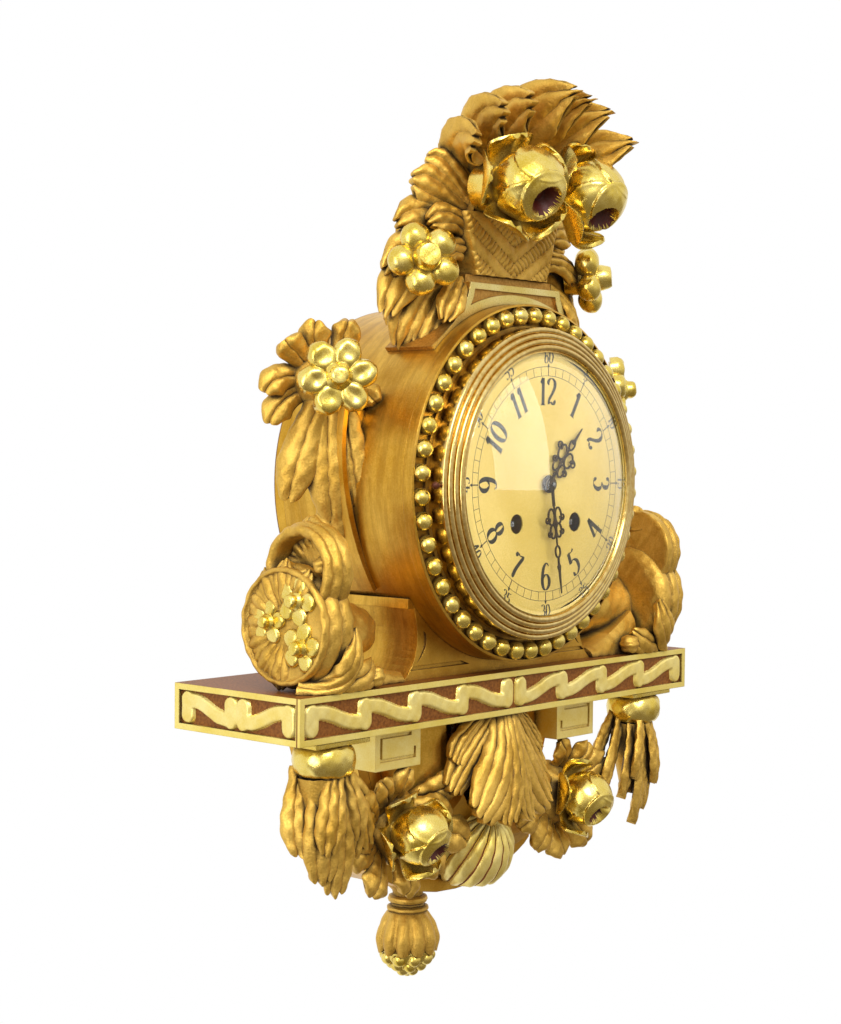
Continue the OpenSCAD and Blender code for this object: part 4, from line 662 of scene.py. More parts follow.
def roseParts(at, r, facing, outer, seed, hollow):
    at, facing = np.array(at, float), unit(np.array(facing, float))
    side = unit(np.cross(facing, [0, 0, 1.0]))
    up = np.cross(side, facing)
    caps = []
    for ring, (count, lean, wide) in enumerate(rose["rings"]):
        for k in range(count):
            a = 2 * math.pi * k / count + 0.7 * ring + seed
            caps.append((math.cos(lean) * facing + math.sin(lean) * (math.cos(a) * side + math.sin(a) * up),
                         wide, 0.9 + 0.04 * ring + 0.014 * (k % 3)))
    hole = unit(np.array(hollow, float))

    def shape(way):
        r0 = np.full(way.shape[:2], rose["core"])
        for centre, wide, height in caps:
            away = np.arccos(np.clip(way @ centre, -1, 1))
            rim = np.clip((wide - away) / 0.08, 0, 1)
            lip = 0.025 * np.exp(-((wide - away - 0.1) / 0.09) ** 2)
            r0 = np.maximum(r0, rose["core"] + (height + lip - rose["core"]) * rim * rim * (3 - 2 * rim))
        deep = np.clip((way @ hole - rose["hollow"]) / 0.035, 0, 1)
        return r0 * (1 - 0.5 * deep)

    parts = ball(at, r / 0.97, shape, facing, 110, 140, lambda way: (way @ hole) > rose["dark"])
    for k in range(outer):
        a = 2 * math.pi * (k + 0.5) / outer + seed
        out = math.cos(a) * side + math.sin(a) * up
        parts += leaf([at + 0.35 * r * out - 0.7 * r * facing, at + 1.3 * r * out - 0.72 * r * facing,
                       at + 1.3 * r * out + 0.1 * r * facing], facing, 1.5 * r, thick=3, cup=0.16, root=0.8,
                      flutes=0, depth=0.6, tip=0, close=0.45, wave=1.1)
    return parts


# A rose in a wreath of leaves on each side of the belly
garland = {"x": -82.6, "drop": 65}
garlandLeaf = {"thick": 7, "cup": 0.3, "root": 0.7, "flutes": 2, "depth": 2.0, "tip": 0.08, "close": 0.45}


def makeGarlandRoses():
    at = (garland["x"], -case["corbelD"] - 42, case["shelfLow"] - garland["drop"])
    parts = roseParts(at, 18.5, (-0.15, -1, 0.1), 4, 0.5, (0.1, -0.8, -0.6))
    parts += lathe([(0, -34), (11, -34), (11, -4), (0, -4)], at=(at[0], at[1] - 0.1, at[2]), steps=32)
    makePiece("garland_roses", "garland_roses", mirrored(parts), [brightGilding, redBoleAndShade], 0.12)


makeGarlandRoses()


def makeGarlands():
    at = (garland["x"], -case["corbelD"] - 4, case["shelfLow"] - garland["drop"])
    rows = [(-14, -12, 6, -26, -26, 16, -40, -24, 22, 25), (-14, -12, -6, -30, -24, -14, -42, -22, -4, 23),
            (-8, -12, -14, -20, -26, -28, -24, -20, -36, 25), (6, -12, -14, 10, -26, -30, 4, -22, -40, 25),
            (12, -14, -10, 28, -30, -20, 34, -22, -32, 25), (12, -14, 8, 26, -30, 12, 40, -26, 2, 25),
            (26, -14, -4, 44, -34, -4, 56, -26, -14, 25), (24, -12, 14, 36, -30, 26, 48, -26, 22, 21),
            (2, -12, 16, 0, -26, 28, 8, -22, 38, 19), (-6, -14, 14, -16, -28, 26, -20, -24, 34, 20)]
    parts = leaves(rows, at, (0, -1, 0), **garlandLeaf)
    for away, r in (((8, -10, 0), 23), ((32, -13, -5), 15)):  # the bed that the leaves grow from
        parts += ball(np.array(at) + away, r, lambda w: 1 - 0.3 * np.abs(w[..., 1]))
    makePiece("leaf_garlands", "garlands", mirrored(parts), antiqueGilding, 0.5)


makeGarlands()


# A double fluted leaf that hangs from the middle of the shelf
centreLeaf = {"thick": 8, "cup": 0.3, "root": 0.6, "flutes": 4, "depth": 1.9, "tip": 0.07, "close": 0.25,
              "curl": 3}


def makeCentreLeaf():
    at = (0, -case["shelfD"] + 8, case["shelfLow"])
    rows = [(-4, 0, 0, -8, -12, -36, -34, -4, -62, 35), (-9, 2, 0, -26, 4, -20, -46, 8, -46, 25),
            (-3, -2, 0, -3, -14, -34, -12, -8, -68, 25), (-14, 4, 0, -34, 6, -14, -42, 8, -28, 18)]
    parts = leaves(rows, at, (-0.3, -1, 0), **centreLeaf)
    makePiece("centre_leaf", "centre_leaf", mirrored(parts), antiqueGilding, 0.4)


makeCentreLeaf()


# The shell: pale lobes that run from a knob in front, with a red-brown line between each two
shell = {"y": -68.0, "drop": 88, "r": 28.3, "lobes": 18, "groove": 0.1, "line": 0.2, "farY": -56.2,
         "lowZ": -255.6, "knobY": -84, "knobDrop": 68, "knobR": 7.3}


def makeShell():
    at, pole = np.array((0, shell["y"], case["shelfLow"] - shell["drop"])), np.array((0, -0.62, 0.78))
    other = np.array((0, 0.78, 0.62))

    def ridge(way):
        return np.abs(np.sin(shell["lobes"] / 2 * np.arctan2(way[..., 0], way @ other)))

    parts = ball(at, shell["r"], lambda way: 1 - shell["groove"] * (1 - ridge(way) ** 0.45), pole, 60, 216,
                 lambda way: ridge(way) < shell["line"])
    knobAt = (0, shell["knobY"], case["shelfLow"] - shell["knobDrop"])
    parts += ball(knobAt, shell["knobR"], lambda w: 1 + 0.05 * np.sin(9 * w[..., 0]))
    parts = cutAt(parts, shell["farY"], shell["lowZ"])
    makePiece("shell_cup", "shell_cup", parts, [paleGilding, lineBole], 0.2)


makeShell()


# The finial: neck rings, an acorn of overlapping lobes and a knobbly berry; profiles are radius and height
finial = {
    "y": 15, "lobes": 11, "cupTop": -282, "cupH": 25,
    "neck": [(0, -262.2), (19, -262.2), (18, -264), (13.4, -266), (10.4, -269), (9.8, -272), (12.6, -273.2),
             (13.2, -274.8), (12.6, -276.4), (10.4, -277.4), (10.8, -278.6), (13.6, -279.8), (13.8, -281.4),
             (12, -283)],
    "core": [(0, -300), (17.8, -300), (17, -309.8), (0, -309.8)],
    "berry": [(0, -308), (17.5, -308), (16, -313), (9, -320), (4, -324.6), (0, -326.2)],
    "knobs": ((9, 14.2, -312.6, 4.6), (7, 9.8, -317.4, 4.4), (4, 4.6, -321.4, 4.1), (1, 0, -323.3, 3.5))}


def makeFinial():
    at, top = (0, -finial["y"], 0), finial["cupTop"]
    t = np.linspace(0, 1, 28)
    cup = list(zip(12 + 11 * np.sin(t * math.pi / 2) ** 0.8 - 3.5 * t ** 4, top - finial["cupH"] * t))

    def lobes(r, h, a):
        part, edge = np.clip((top + 1 - h) / 10, 0, 1), np.clip((top - 18 - h) / 8, 0, 1)
        near, behind = np.abs(np.sin(finial["lobes"] * a / 2)), np.abs(np.cos(finial["lobes"] * a / 2))
        ridge = 1 - part * (1 - np.maximum(near ** 0.5, 0.55 * behind ** 0.5))
        scallop = near ** 0.6
        return r * (0.8 + 0.2 * ridge), h - 3.2 * edge * scallop + 2 * edge * (1 - scallop)

    parts = lathe(finial["neck"], "z", at, 80)
    parts += lathe([(0, top)] + cup + [(18, top - 25), (16, top - 24.5), (0, top - 24)], "z", at, 242, lobes)
    parts += lathe(finial["core"], "z", at, 60)
    makePiece("finial_cup", "finial_cup", cutAt(parts, 0), antiqueGilding, 0.2)
    berry = lathe(finial["berry"], "z", at, 40)
    for ring, (count, r, z, size) in enumerate(finial["knobs"]):
        for k in range(count):
            a = 2 * math.pi * (k + 0.5 * ring) / count
            berry += ball((r * math.cos(a), -finial["y"] + r * math.sin(a), z), size, None, (0, 0, 1), 14, 20)
    makePiece("finial_berry", "finial_berry", cutAt(berry, 0), brightGilding, 0.1)


makeFinial()
print("apron ready")


# The basket: slanting strands that run down to the middle, with groups of short strokes between
basket = {"halfLow": 35, "halfHigh": 46, "h": 38, "near": 96.9, "strand": 9.5, "fall": 0.62, "stroke": 5.2,
          "strokeFall": 1.1, "edge": 2.4}


def makeBasket():
    u, v = np.meshgrid(np.linspace(-1, 1, 191), np.linspace(0, 1, 100))
    x, up = u * (basket["halfLow"] + (basket["halfHigh"] - basket["halfLow"]) * v), basket["h"] * v
    lean = up - basket["fall"] * np.abs(x)
    strand = np.abs(np.sin(math.pi * lean / basket["strand"])) ** 0.5
    short = np.abs(np.sin(math.pi * (up + basket["strokeFall"] * np.abs(x)) / basket["stroke"])) ** 0.5
    odd = (np.floor(lean / basket["strand"]) % 2) == 0
    depth = basket["near"] + 1.0 * strand + 0.9 * np.where(odd, short, 0.95)
    depth = depth - basket["edge"] * (1 - np.clip((1 - np.abs(u)) / 0.06, 0, 1) ** 0.5)
    parts = backed(np.stack([x, -depth, case["basketZ"] + up], -1), case["crestNear"] + 0.2)
    makePiece("flower_basket", "basket", parts, antiqueGilding, 0.2)


makeBasket()


# The plume: seven broad fluted feathers that curl forward, on a fluted block
feather = {"thick": 8.5, "cup": 0.16, "root": 0.8, "flutes": 3, "depth": 2.2, "tip": 0.12, "close": 0.5}


def makePlume():
    at = (0, -92, case["basketZ"] + 53)
    near, far = (-0.9, -0.42, -0.1), (-0.75, -0.6, 0.1)
    point = {"tip": 0.16, "close": 0.74}
    rows = [(-4, 5, 0, -8, -8, 53.8, -8, -61, 55.8, 38, dict(point, face=near)),
            (4, 5, 0, 6, -8, 53, 8, -60, 53, 32, dict(point, face=near)),
            (12, 6, 0, 22, -10, 46, 30, -58, 49, 34, dict(point, face=far)),
            (20, 6, -4, 44, -12, 30, 56, -58, 34, 34, dict(point, face=far)),
            (-12, 8, 0, -24, -4, 51, -28, -42, 48, 36, {"face": near}),
            (-18, 9, -2, -40, -3, 46, -48, -36, 40, 36, {"face": near}),
            (-20, 14, -5, -52, 5, 34, -60, -24, 22, 34, {"face": near})]
    parts = leaves(rows, at, near, **feather)
    u, v = np.meshgrid(np.linspace(-1, 1, 61), np.linspace(0, 1, 16))
    flute = 1.2 * np.abs(np.sin(4.5 * math.pi * u)) ** 0.5
    front = np.stack([u * (38 - 12 * v), -94.4 - flute + 3 * v, 163.5 + 29 * v], -1)
    parts += backed(front, case["crestNear"] + 0.2)
    makePiece("plume_feathers", "plume", parts, antiqueGilding, 0.4)


makePlume()


# A fan of leaves on each side of the crest and a tuft that hangs beside the crest block, on a thick slab
crestLeaf = {"thick": 9, "cup": 0.24, "root": 0.8, "flutes": 3, "depth": 2.2, "tip": 0.1}


def makeCrestLeaves():
    at = (-38, -68, case["crestTop"] + 26)
    rows = [(10, -22, 24, -2, -16, 56, -10, -8, 58, 28), (8, -22, 20, -14, -16, 46, -22, -8, 48, 27),
            (6, -20, 16, -22, -14, 34, -34, -8, 34, 29), (4, -18, 8, -28, -12, 18, -44, -6, 6, 29),
            (0, -16, -4, -32, -12, 4, -54, -6, -24, 29), (-14, -14, -8, -46, -12, -14, -54, -6, -50, 27),
            (-18, -14, -24, -42, -14, -36, -40, -4, -68, 25),
            (-12, -18, -30, -30, -22, -46, -32, -12, -70, 21),
            (-6, -24, -24, -22, -34, -32, -28, -30, -52, 19),
            (-2, -24, 8, -20, -26, 16, -32, -20, 8, 20), (-4, -24, -6, -24, -28, -4, -36, -24, -20, 19)]
    parts = leaves(rows, at, (-0.6, -0.8, 0.1), **crestLeaf)
    u, v = np.meshgrid(np.linspace(0, 1, 20), np.linspace(0, 1, 20))
    right = np.stack([-40 + 0 * v, 112 + 54 * v], -1)
    left = np.stack([-60 - 13 * np.sin(math.pi * np.minimum(1, 0.2 + v)), 96 + 60 * v], -1)
    flat = left + (right - left) * u[..., None]
    parts += backed(np.stack([flat[..., 0], -78 + 0 * u, flat[..., 1]], -1), 52.3)
    for name, side in (("crest_leaves_left", parts), ("crest_leaves_right", flipped(parts))):
        makePiece(name, name, side, antiqueGilding, 0.4)


makeCrestLeaves()


# A bunch of five rounded petals round a button, on a peg
crestFlower = {"at": (-82, -96, 11), "ringR": 13.5, "petalR": 9, "peg": [(0, -17), (9, -17), (11, 3), (0, 4)],
               "button": [(0, 0), (8.6, 0), (8.4, 8), (7.4, 12), (6.4, 14), (3, 14.4), (0, 14)]}


def makeCrestFlowers():
    x, y, up = crestFlower["at"]
    bunch = []
    for k in range(5):
        a = math.radians(72 * k + 54)
        spot = (crestFlower["ringR"] * math.cos(a), 0, crestFlower["ringR"] * math.sin(a))
        bunch += ball(spot, crestFlower["petalR"], lambda w: 1 - 0.3 * np.maximum(-w[..., 1] - 0.25, 0),
                      (0, -1, 0), 32, 40)
    bunch += lathe(crestFlower["button"], steps=40) + lathe(crestFlower["peg"], steps=40)
    parts = turnedTo(bunch, (-0.57, -0.82, 0.1), 0.2, (x, y, case["crestTop"] + up))
    makePiece("crest_flowers", "crest_flowers", mirrored(parts), brightGilding, 0.15)


makeCrestFlowers()


def makeCrestRoses():
    at = np.array((-31, -133, case["crestTop"] + 57), float)
    parts = []
    for side, seed, hollow in ((-1, 0.75, (-0.12, -0.8, -0.6)), (1, 1.2, (-0.1, -0.6, -0.8))):
        here = at * [-side, 1, 1]
        parts += roseParts(here, 23, (0.25 * side, -0.95, 0.1), 5, seed, hollow)
        parts += lathe(rosePeg, at=here, steps=36)
    makePiece("crest_roses", "crest_roses", parts, [brightGilding, redBoleAndShade], 0.12)


makeCrestRoses()
print("crest ready")


# A large six-petalled flower beside the case, and the husks and leaves that hang behind and below it
def makeSideFlowers():
    bloom = flower(21, 0.46, 0.4, 0.24, 0.28, 6, 0.3, 0.3)
    bloom += lathe([(0, -16), (12, -16), (11, 2), (0, 4)], steps=36)
    parts = turnedTo(bloom, (-0.62, -0.79, 0.05), 0.15, (-138, -80, 62))
    makePiece("side_flowers", "side_flowers", mirrored(parts), brightGilding, 0.35)


makeSideFlowers()


husk = {"thick": 8.5, "cup": 0.3, "root": 0.8, "flutes": 2, "depth": 1.5, "tip": 0.06, "close": 0.35}


def makeHusks():
    at = (-122, -54, 62)
    rows = [(6, 0, 8, 6, -12, 24, 4, -14, 34, 18), (0, 4, 8, -12, 0, 24, -8, 0, 34, 19),
            (-4, 6, 4, -24, 6, 18, -26, 8, 22, 19), (-6, 10, 0, -28, 14, 4, -32, 18, -10, 19),
            (-6, 10, -6, -24, 16, -12, -26, 20, -28, 19), (10, -8, -6, 18, -20, -8, 18, -24, -14, 16),
            (0, 0, -8, -16, 6, -40, -16, 14, -74, 25), (2, -2, -8, -6, -6, -50, 6, -2, -86, 27),
            (6, -6, -8, 6, -16, -40, 16, -14, -76, 21), (4, 2, -68, 2, -4, -84, 10, 0, -98, 20)]
    parts = leaves(rows, at, (-0.8, -0.6, 0), **husk)
    parts += ball(np.array(at) + (2, 8, 0), 17)
    makePiece("side_husks", "husks", mirrored(parts), antiqueGilding, 0.4)


makeHusks()

# A scroll on the shelf's end: a ringed roll on its side under an arched curl, with leaves round it and at its
# foot. Profiles are radius and place along x; rays are an angle in degrees and a reach; blooms are back, up, r
scroll = {
    "at": (-144, -76, -80), "tailAt": (0, 14, -8), "archAt": (0, -8, 32),
    "disc": [(0.1, -31.4), (12, -31.4), (24, -31.6), (29.6, -32), (31.4, -34), (33.4, -33.4), (34, -30.6),
             (33, -28.6), (34.6, -26.6), (35.9, -23.6), (35, -20.6), (33.2, -19), (34.6, -16.6), (35, -13.4),
             (33.4, -10), (29, -7), (22, -6), (0.1, -6)],
    "tail": [(0.1, -8), (22, -8), (22, 0), (20.6, 8), (20.8, 16), (18.6, 24), (18, 32), (15, 40), (12, 46),
             (0.1, 47)],
    "arch": [(0.1, -17), (17, -17), (18.6, -20), (19.2, -28), (21, -30.6), (23.6, -31), (25.6, -28.8),
             (25, -26.4), (27, -24.2), (27.6, -21.8), (25.8, -19.6), (27.2, -17.2), (27.2, -14), (24, -11.6),
             (0.1, -11.6)],
    "rays": ((62, 37), (92, 38), (120, 37), (148, 33), (176, 31), (204, 32), (232, 35), (260, 37)),
    "archRays": (98, 128, 158), "blooms": ((10, 15, 13.6), (14, -11, 13.6), (-12, 2, 12)), "farY": -1.0,
    "foot": [(-32, -12, -32, -10, -44, -36, -7, -31, 0, 19, {"flutes": 3}),
             (-24, -18, -32, 2, -36, -33, 14, -24, -20, 17),
             (-8, -24, -31, 8, -32, -33, 20, -20, -28, 13)]}
scrollLeaf = {"thick": 8, "cup": 0.3, "root": 0.6, "flutes": 3, "depth": 1.5, "tip": 0.08}
archLeaf = dict(scrollLeaf, cup=0.4, root=0.8, flutes=2)
footLeaf = {"thick": 8, "cup": 0.35, "root": 0.9, "flutes": 2, "depth": 1.8, "tip": 0.05}


def makeScroll():
    at = np.array(scroll["at"], float)
    parts = lathe(smoothPath(scroll["disc"], 4), "x", at, 96)
    parts += lathe(smoothPath(scroll["tail"], 4), "x", at + scroll["tailAt"], 72)
    parts += lathe(smoothPath(scroll["arch"], 4), "x", at + scroll["archAt"], 80)
    parts += ball(at + (-27, -25, 36), 5.2, lambda w: 1 + 0.06 * np.sin(7 * w[..., 2]))

    def ray(turn, reach, inward):
        a = math.radians(turn)
        return np.array([inward, -reach * math.cos(a), reach * math.sin(a)])

    for turn, reach in scroll["rays"]:
        points = [at + ray(turn, 6, -28), at + ray(turn, 24, -36), at + ray(turn, reach, -28)]
        parts += leaf(points, (-1, 0, 0), 19, **scrollLeaf)
    for turn in scroll["archRays"]:
        top = at + scroll["archAt"] + (-14, 0, 0)
        points = [top + ray(turn, 12, 0), top + ray(turn, 24, -6), top + ray(turn, 30, 2)]
        parts += leaf(points, (-1, 0, 0.4), 19, **archLeaf)
    parts += leaves(scroll["foot"], at, (0.3, -0.85, 0.3), **footLeaf)
    parts += ball(at + (17, -24, -30), 6.5, lambda w: 1 + 0.05 * np.cos(9 * w[..., 2]))
    u, v = np.meshgrid(np.linspace(0, 1, 24), np.linspace(0, 1, 14))  # the sweep up to the roll's back
    front = np.stack([-93.6 - 52 * u, -93.8 + 6 * v ** 3, case["shelfZ"] + (6 + 22 * u ** 1.5) * v], -1)
    parts = cutAt(parts + backed(front, 54.2), scroll["farY"], case["shelfZ"] + 0.3)
    for name, side in (("scroll_left", parts), ("scroll_right", flipped(parts))):
        makePiece(name, name, side, antiqueGilding, 0.35)
    blooms = []
    for k, (back, up, r) in enumerate(scroll["blooms"]):
        bloom = flower(r, 0.44, 0.42, 0.2, 0.3, 5, 0.1, 0.5 * k)
        blooms += turnedTo(bloom, (-1, 0, 0.02), 0.4 * k, at + (-31.5, -back, up))
    makePiece("scroll_flowers", "scroll_flowers", mirrored(blooms), brightGilding, 0.25)


makeScroll()
print("sides ready")


# The dial's printing: figures stay upright, minute figures stand outside the track
dial = {"face": 125.01, "ink": 125.07, "trackIn": 66.0, "trackOut": 71.5, "hourR": 56.5, "hourH": 17,
        "minuteR": 77.6, "minuteH": 7.6, "thick": 0.17, "thin": 0.035, "gap": 0.08, "soft": 0.02}


def oval(cx, cz, rx, rz, start=0.0, end=360.0, n=40):
    a = np.radians(np.linspace(start, end, n))
    return np.stack([cx + rx * np.cos(a), cz + rz * np.sin(a)], 1)


# Each figure: its width and its strokes, in a box one high; a broad nib makes upright strokes thick
figures = {
    "0": (0.54, [oval(0.27, 0.5, 0.22, 0.47)]),
    "1": (0.34, [[(0.03, 0.8), (0.1, 0.86), (0.17, 0.97)], [(0.18, 0.98), (0.18, 0.5), (0.18, 0.02)],
                 [(0.05, 0.02), (0.18, 0.02), (0.31, 0.02)]]),
    "2": (0.52, [[(0.1, 0.72), (0.06, 0.84), (0.16, 0.95), (0.3, 0.96), (0.43, 0.85), (0.44, 0.68),
                  (0.32, 0.46), (0.14, 0.24), (0.05, 0.05)],
                 [(0.05, 0.05), (0.2, 0.12), (0.36, 0.04), (0.48, 0.2)]]),
    "3": (0.5, [[(0.08, 0.8), (0.12, 0.93), (0.26, 0.97), (0.4, 0.86), (0.38, 0.64), (0.2, 0.53)],
                [(0.2, 0.53), (0.4, 0.46), (0.45, 0.24), (0.3, 0.03), (0.12, 0.05), (0.06, 0.2)]]),
    "4": (0.56, [[(0.38, 0.97), (0.2, 0.62), (0.03, 0.28)], [(0.03, 0.28), (0.3, 0.28), (0.53, 0.28)],
                 [(0.38, 0.97), (0.38, 0.5), (0.38, 0.02)], [(0.26, 0.02), (0.38, 0.02), (0.5, 0.02)]]),
    "5": (0.5, [[(0.12, 0.94), (0.28, 0.9), (0.43, 0.97)], [(0.12, 0.94), (0.1, 0.74), (0.08, 0.52)],
                [(0.08, 0.52), (0.26, 0.6), (0.44, 0.46), (0.45, 0.2), (0.28, 0.03), (0.12, 0.04),
                 (0.06, 0.18)]]),
    "6": (0.52, [[(0.42, 0.86), (0.3, 0.97), (0.14, 0.82), (0.07, 0.5), (0.08, 0.22), (0.18, 0.04),
                  (0.32, 0.03), (0.45, 0.18), (0.45, 0.4), (0.3, 0.56), (0.14, 0.48), (0.09, 0.34)]]),
    "7": (0.5, [[(0.04, 0.78), (0.08, 0.92), (0.24, 0.88), (0.46, 0.95)],
                [(0.46, 0.95), (0.3, 0.56), (0.22, 0.28), (0.2, 0.02)]]),
    "8": (0.5, [oval(0.25, 0.74, 0.15, 0.22), oval(0.25, 0.27, 0.2, 0.25)]),
}


def inked(path, width, closed=False):
    return band(path, width, dial["face"], dial["ink"], closed, dial["soft"])


def figureParts(text, height, spin, centreR):
    wide = [figures["6" if c == "9" else c][0] for c in text]
    low = math.cos(spin) < -0.2  # figures in the lower half are turned to stay readable
    turn = spin + (math.pi if low else 0)
    cx, cz = centreR * math.sin(spin), centreR * math.cos(spin)
    c, s = math.cos(turn), math.sin(turn)
    parts, pen = [], -(sum(wide) + dial["gap"] * (len(text) - 1)) / 2
    for char, width in zip(text, wide):
        for stroke in figures["6" if char == "9" else char][1]:
            closed = isinstance(stroke, np.ndarray)
            path = stroke[:-1] if closed else smoothPath(stroke, 9)
            if char == "9":
                path = np.array([width, 1.0]) - path
            nib = dial["thin"] + (dial["thick"] - dial["thin"]) * np.abs(heading(path, closed)[:, 1]) ** 1.6
            if not closed and len(path) > 24:  # a stroke's ends are drawn out thin
                t = np.linspace(0, 1, len(path))
                nib = np.maximum(nib * np.minimum(1, 6 * np.minimum(t, 1 - t) + 0.25), dial["thin"])
            local = (path + [pen, -0.5]) * height
            x, z = local[:, 0] * c + local[:, 1] * s + cx, -local[:, 0] * s + local[:, 1] * c + cz
            parts += inked(np.stack([x, z], 1), nib * height, closed)
        pen += width + dial["gap"]
    return parts


def makeDial():
    parts = []
    for r in (dial["trackIn"], dial["trackOut"]):
        parts += inked(oval(0, 0, r, r, n=241)[:-1], 0.32, True)
    for k in range(60):
        a = math.radians(6 * k)
        way = np.array([math.sin(a), math.cos(a)])
        parts += inked([way * dial["trackIn"], way * dial["trackOut"]], 0.34 if k % 5 else 0.7)
        if k % 5 == 0:  # a small wedge at each five minutes
            parts += inked([way * 71.3, way * 72.6, way * 73.8], np.array([2.4, 1.4, 0.1]))
    for k in range(1, 13):
        a = math.radians(30 * k)
        parts += figureParts(str(k), dial["hourH"], a, dial["hourR"])
        parts += figureParts(str(5 * k), dial["minuteH"], a, dial["minuteR"])
    makePiece("dial_printing", None, parts, dialInk)


makeDial()


# The hands: an open hub, pairs of loops and curls beside the stem, and a blade; loops are at, size and breadth
hands = {
    "hour": {"l": 47.5, "hub": 4.6, "loops": [(14, 4.4, 5.2), (23.5, 5.2, 6.6)], "neck": 33, "turn": 44,
             "y": (126.4, 127.2)},
    "minute": {"l": 68, "hub": 3.3, "loops": [(20, 5.0, 5.4), (29, 4.2, 4.6)], "neck": 42, "turn": 171,
               "y": (128.8, 129.6)}}


def curl(cx, cz, r):  # a spiral that turns inwards
    t = np.linspace(0, 1, 46)
    a, k = math.radians(200) - 2.7 * math.pi * t, r * (1 - 0.72 * t)
    return np.stack([cx + k * np.cos(a), cz + k * np.sin(a)], 1)


def handStrokes(hand):  # each stroke is its path, its width and whether it is closed
    l, neck = hand["l"], hand["neck"]
    hub = hand["hub"]
    out = [(oval(0, 0, hub, hub)[:-1], 1.9, True), ([(0, hub), (0, 0.2 * l)], 2.4, False)]
    for at, size, breadth in hand["loops"]:
        loop = oval(0.62 * breadth, at, 0.55 * breadth, size, n=30)[:-1]
        twirl = curl(1.35 * breadth, at + 0.25 * size, 0.42 * breadth)
        for side in (1, -1):
            out.append((loop * [side, 1], 1.3, True))
        for side in (1, -1):
            out.append((twirl * [side, 1], np.linspace(1.3, 0.8, len(twirl)), False))
    out.append((oval(0, neck, 2.3, 3.6, n=30)[:-1], 1.2, True))
    out.append(([(0, 0.12 * l), (0, neck - 3)], 1.1, False))
    blade = smoothPath([(0, neck + 3), (0, 0.72 * l), (0, 0.78 * l), (0, 0.9 * l), (0, l)], 5)
    wide = np.interp(np.linspace(0, 1, 21), [0, 0.3, 0.42, 0.55, 0.8, 1], [1.2, 1.5, 3.4, 1.8, 1.0, 0.3])
    return out + [(blade, wide, False)]


def makeHand(name, body, more=()):
    hand = hands[name]
    a = math.radians(hand["turn"])
    c, s = math.cos(a), math.sin(a)
    parts = []
    for path, width, closed in handStrokes(hand) + list(more):
        path = np.array(path, float)
        turned = np.stack([path[:, 0] * c + path[:, 1] * s, -path[:, 0] * s + path[:, 1] * c], 1)
        parts += band(turned, width, *hand["y"], closed, 0.2)
    makePiece(name + "_hand", name + "_hand", parts, handBronze, body=body)


makeHand("hour", "hour")
makeHand("minute", "centre", [(oval(0, 0, 1.9, 1.9, n=30)[:-1], 1.8, True)])


# The door: a reeded brass bezel that steps in towards the domed glass; its knuckle turns on the fixed hinge
door = {"r": 96, "reeds": 4, "reedW": 3.6, "reedStep": 1.4, "reedY": 123.6, "hinge": (97.4, -120.6),
        "roomR": 2.15, "roomHalf": 10.5, "glassR": 80.2, "domeH": 17, "glassY": 127.4, "glassT": 2,
        "inside": [(80.7, 128.6), (80.5, 128.2), (80.5, 127.6), (83.2, 127.6), (83.2, 125.3), (89, 125.3),
                   (89, 117)],
        "knuckle": [(0.75, -3), (1.5, -3), (1.7, -2.8), (1.7, 2.8), (1.5, 3), (0.75, 3)],
        "glassEdge": [(82.4, 127.4), (83.0, 127.0), (83.0, 125.5), (78, 125.4)]}


def makeDoor():
    reeds = [(door["r"] - door["reedW"] * (k + 0.5) + 1.8 * math.cos(a),
              door["reedY"] + door["reedStep"] * k + 1.6 * math.sin(a))
             for k in range(door["reeds"]) for a in np.linspace(0, math.pi * 0.94, 9)]
    (v, f, s), = lathe([(door["r"], 117), (door["r"], 121.6)] + reeds + door["inside"], steps=240, closed=True)
    away = v[:, :2] - np.array(door["hinge"])  # room for the hinge's fixed knuckles
    far = np.linalg.norm(away, axis=1)
    inside = (far < door["roomR"]) & (np.abs(v[:, 2]) < door["roomHalf"])
    v[inside, :2] += away[inside] * (door["roomR"] / far[inside] - 1)[:, None]
    parts = [(v, f, s)] + lathe(door["knuckle"], "z", (*door["hinge"], 0), 32, closed=True)
    parts += roundedBox(94.4, 97.0, -122.3, -121.4, -3, 3, 0.2, 0.3)
    makePiece("bezel_ring", "bezel", parts, polishedBrass, body="door", sharp=50)
    ballR = (door["glassR"] ** 2 + door["domeH"] ** 2) / (2 * door["domeH"])
    full, base = math.asin(door["glassR"] / ballR), door["glassY"] + door["domeH"] - ballR
    arcs = [[(r * math.sin(a), base + r * math.cos(a)) for a in np.linspace(a0, a1, 40)]
            for r, a0, a1 in ((ballR, 0.0005, full), (ballR - door["glassT"], full - 0.028, 0.0005))]
    dome = arcs[0] + door["glassEdge"] + arcs[1]
    makePiece("glass_dome", "glass", lathe(dome, steps=200), domeGlass, body="door", sharp=30)


makeDoor()
print("dial ready")


# The camera fitted to the photo, in metres and degrees
view = {"at": (-0.9226, -0.8353, 0.0236), "yaw": 49.023, "pitch": -2.17, "roll": 0.623, "lens": 66.48,
        "shift": (-0.01284, 0.00395)}


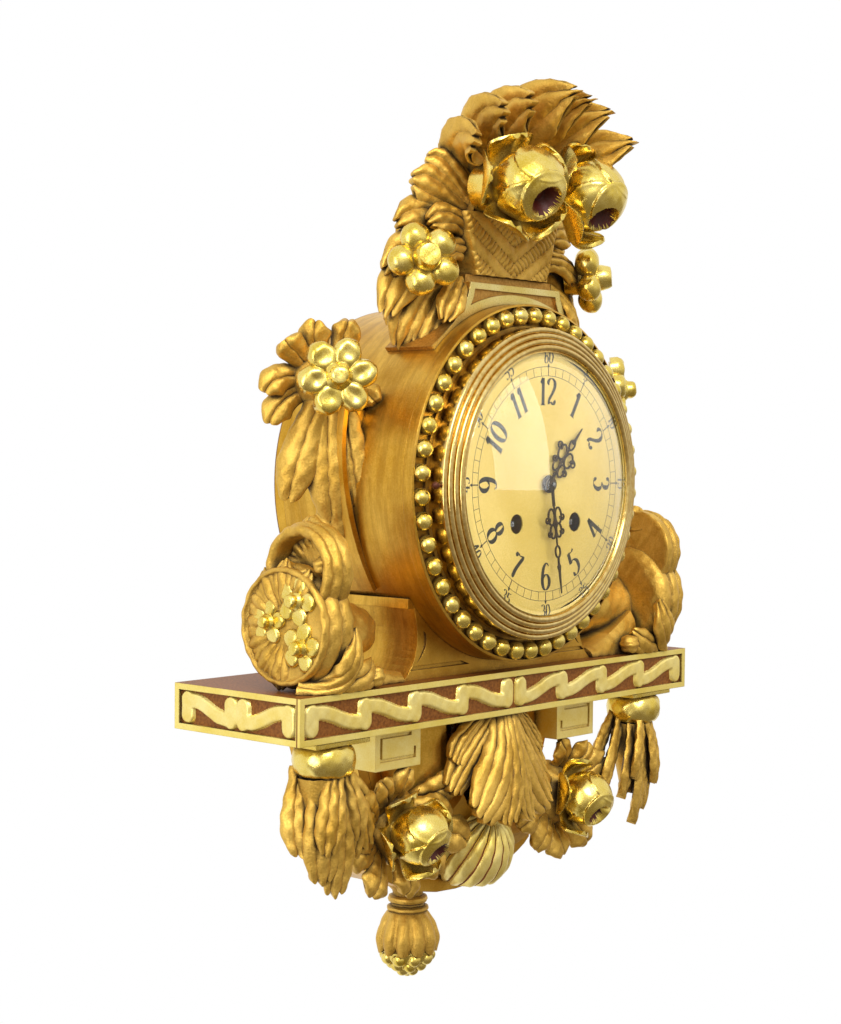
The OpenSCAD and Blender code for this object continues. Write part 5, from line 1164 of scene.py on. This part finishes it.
def placeCamera():
    yaw, pitch, tilt = (math.radians(view[k]) for k in ("yaw", "pitch", "roll"))
    ahead = np.array([math.sin(yaw) * math.cos(pitch), math.cos(yaw) * math.cos(pitch), math.sin(pitch)])
    right = np.array([math.cos(yaw), -math.sin(yaw), 0.0])
    up = np.cross(right, ahead)
    x = right * math.cos(tilt) + up * math.sin(tilt)
    y = -right * math.sin(tilt) + up * math.cos(tilt)
    turn = Matrix(np.stack([x, y, -ahead], 1).tolist()).to_4x4()
    lens = bpy.data.cameras.new("camera")
    lens.lens, lens.sensor_width = view["lens"], 36
    lens.shift_x, lens.shift_y = view["shift"]
    lens.clip_end = 20
    holder = bpy.data.objects.new("camera", lens)
    holder.matrix_world = Matrix.Translation(view["at"]) @ turn
    bpy.context.scene.collection.objects.link(holder)
    bpy.context.scene.camera = holder


placeCamera()
bpy.context.scene.view_settings.view_transform = "Standard"


def areaLight(name, at, size, watts, inMirrors=True):
    lamp = bpy.data.lights.new(name, "AREA")
    lamp.shape, lamp.size, lamp.size_y = "RECTANGLE", size[0], size[1]
    lamp.energy = watts
    holder = bpy.data.objects.new(name, lamp)
    holder.location = at
    holder.visible_glossy = inMirrors
    holder.rotation_euler = (Vector((0, -0.06, -0.03)) - Vector(at)).to_track_quat("-Z", "Y").to_euler()
    bpy.context.scene.collection.objects.link(holder)


areaLight("key_soft_box", (-0.9, -1.3, 1.1), (0.9, 0.7), 19)
areaLight("front_soft_box", (0.7, -1.5, 0.4), (0.8, 1.0), 10, False)
areaLight("side_strip", (-1.5, -0.25, 0.15), (0.35, 1.1), 7)


# A pale room, shaded from bright above to dim below, with a white backdrop behind the clock that the camera,
# metal and glass see
def makeWorld():
    world = bpy.data.worlds.new("pale_studio")
    world.use_nodes = True
    tree = world.node_tree
    tree.nodes.clear()
    add = nodeAdder(tree)
    xyz = add("SeparateXYZ", {0: add("TexCoord")["Generated"]})
    room = add("ValToRGB", {0: add("MapRange", {0: xyz[2], 1: -1, 2: 1})[0]})[0]
    ramp = room.node.color_ramp
    for k, (spot, tint) in enumerate(((0.18, "8A8072"), (0.95, "FFFFFF"))):
        ramp.elements[k].position, ramp.elements[k].color = spot, hexColour(tint)
    for spot, tint in ((0.42, "ABA398"), (0.52, "E0DDD9"), (0.62, "F6F5F3")):
        ramp.elements.new(spot).color = hexColour(tint)
    fade = add("MapRange", {0: xyz[1], 1: 0.0, 2: 0.35})[0]
    backdrop = add("Mix", {0: fade, 6: room, 7: "FFFFFF"}, data_type="RGBA")[2]
    seen = add("Background", {"Color": backdrop, "Strength": 1.0})[0]
    light = add("Background", {"Color": room, "Strength": 1.05})[0]
    ray = add("LightPath")
    looks = ray["Is Camera Ray"]
    for kind in ("Is Glossy Ray", "Is Transmission Ray"):
        looks = add("Math", {0: looks, 1: ray[kind]}, operation="MAXIMUM")[0]
    both = add("MixShader", {0: looks, 1: light, 2: seen})[0]
    add("OutputWorld", {"Surface": both})
    bpy.context.scene.world = world


makeWorld()
bpy.context.view_layer.update()
print("light and camera ready")
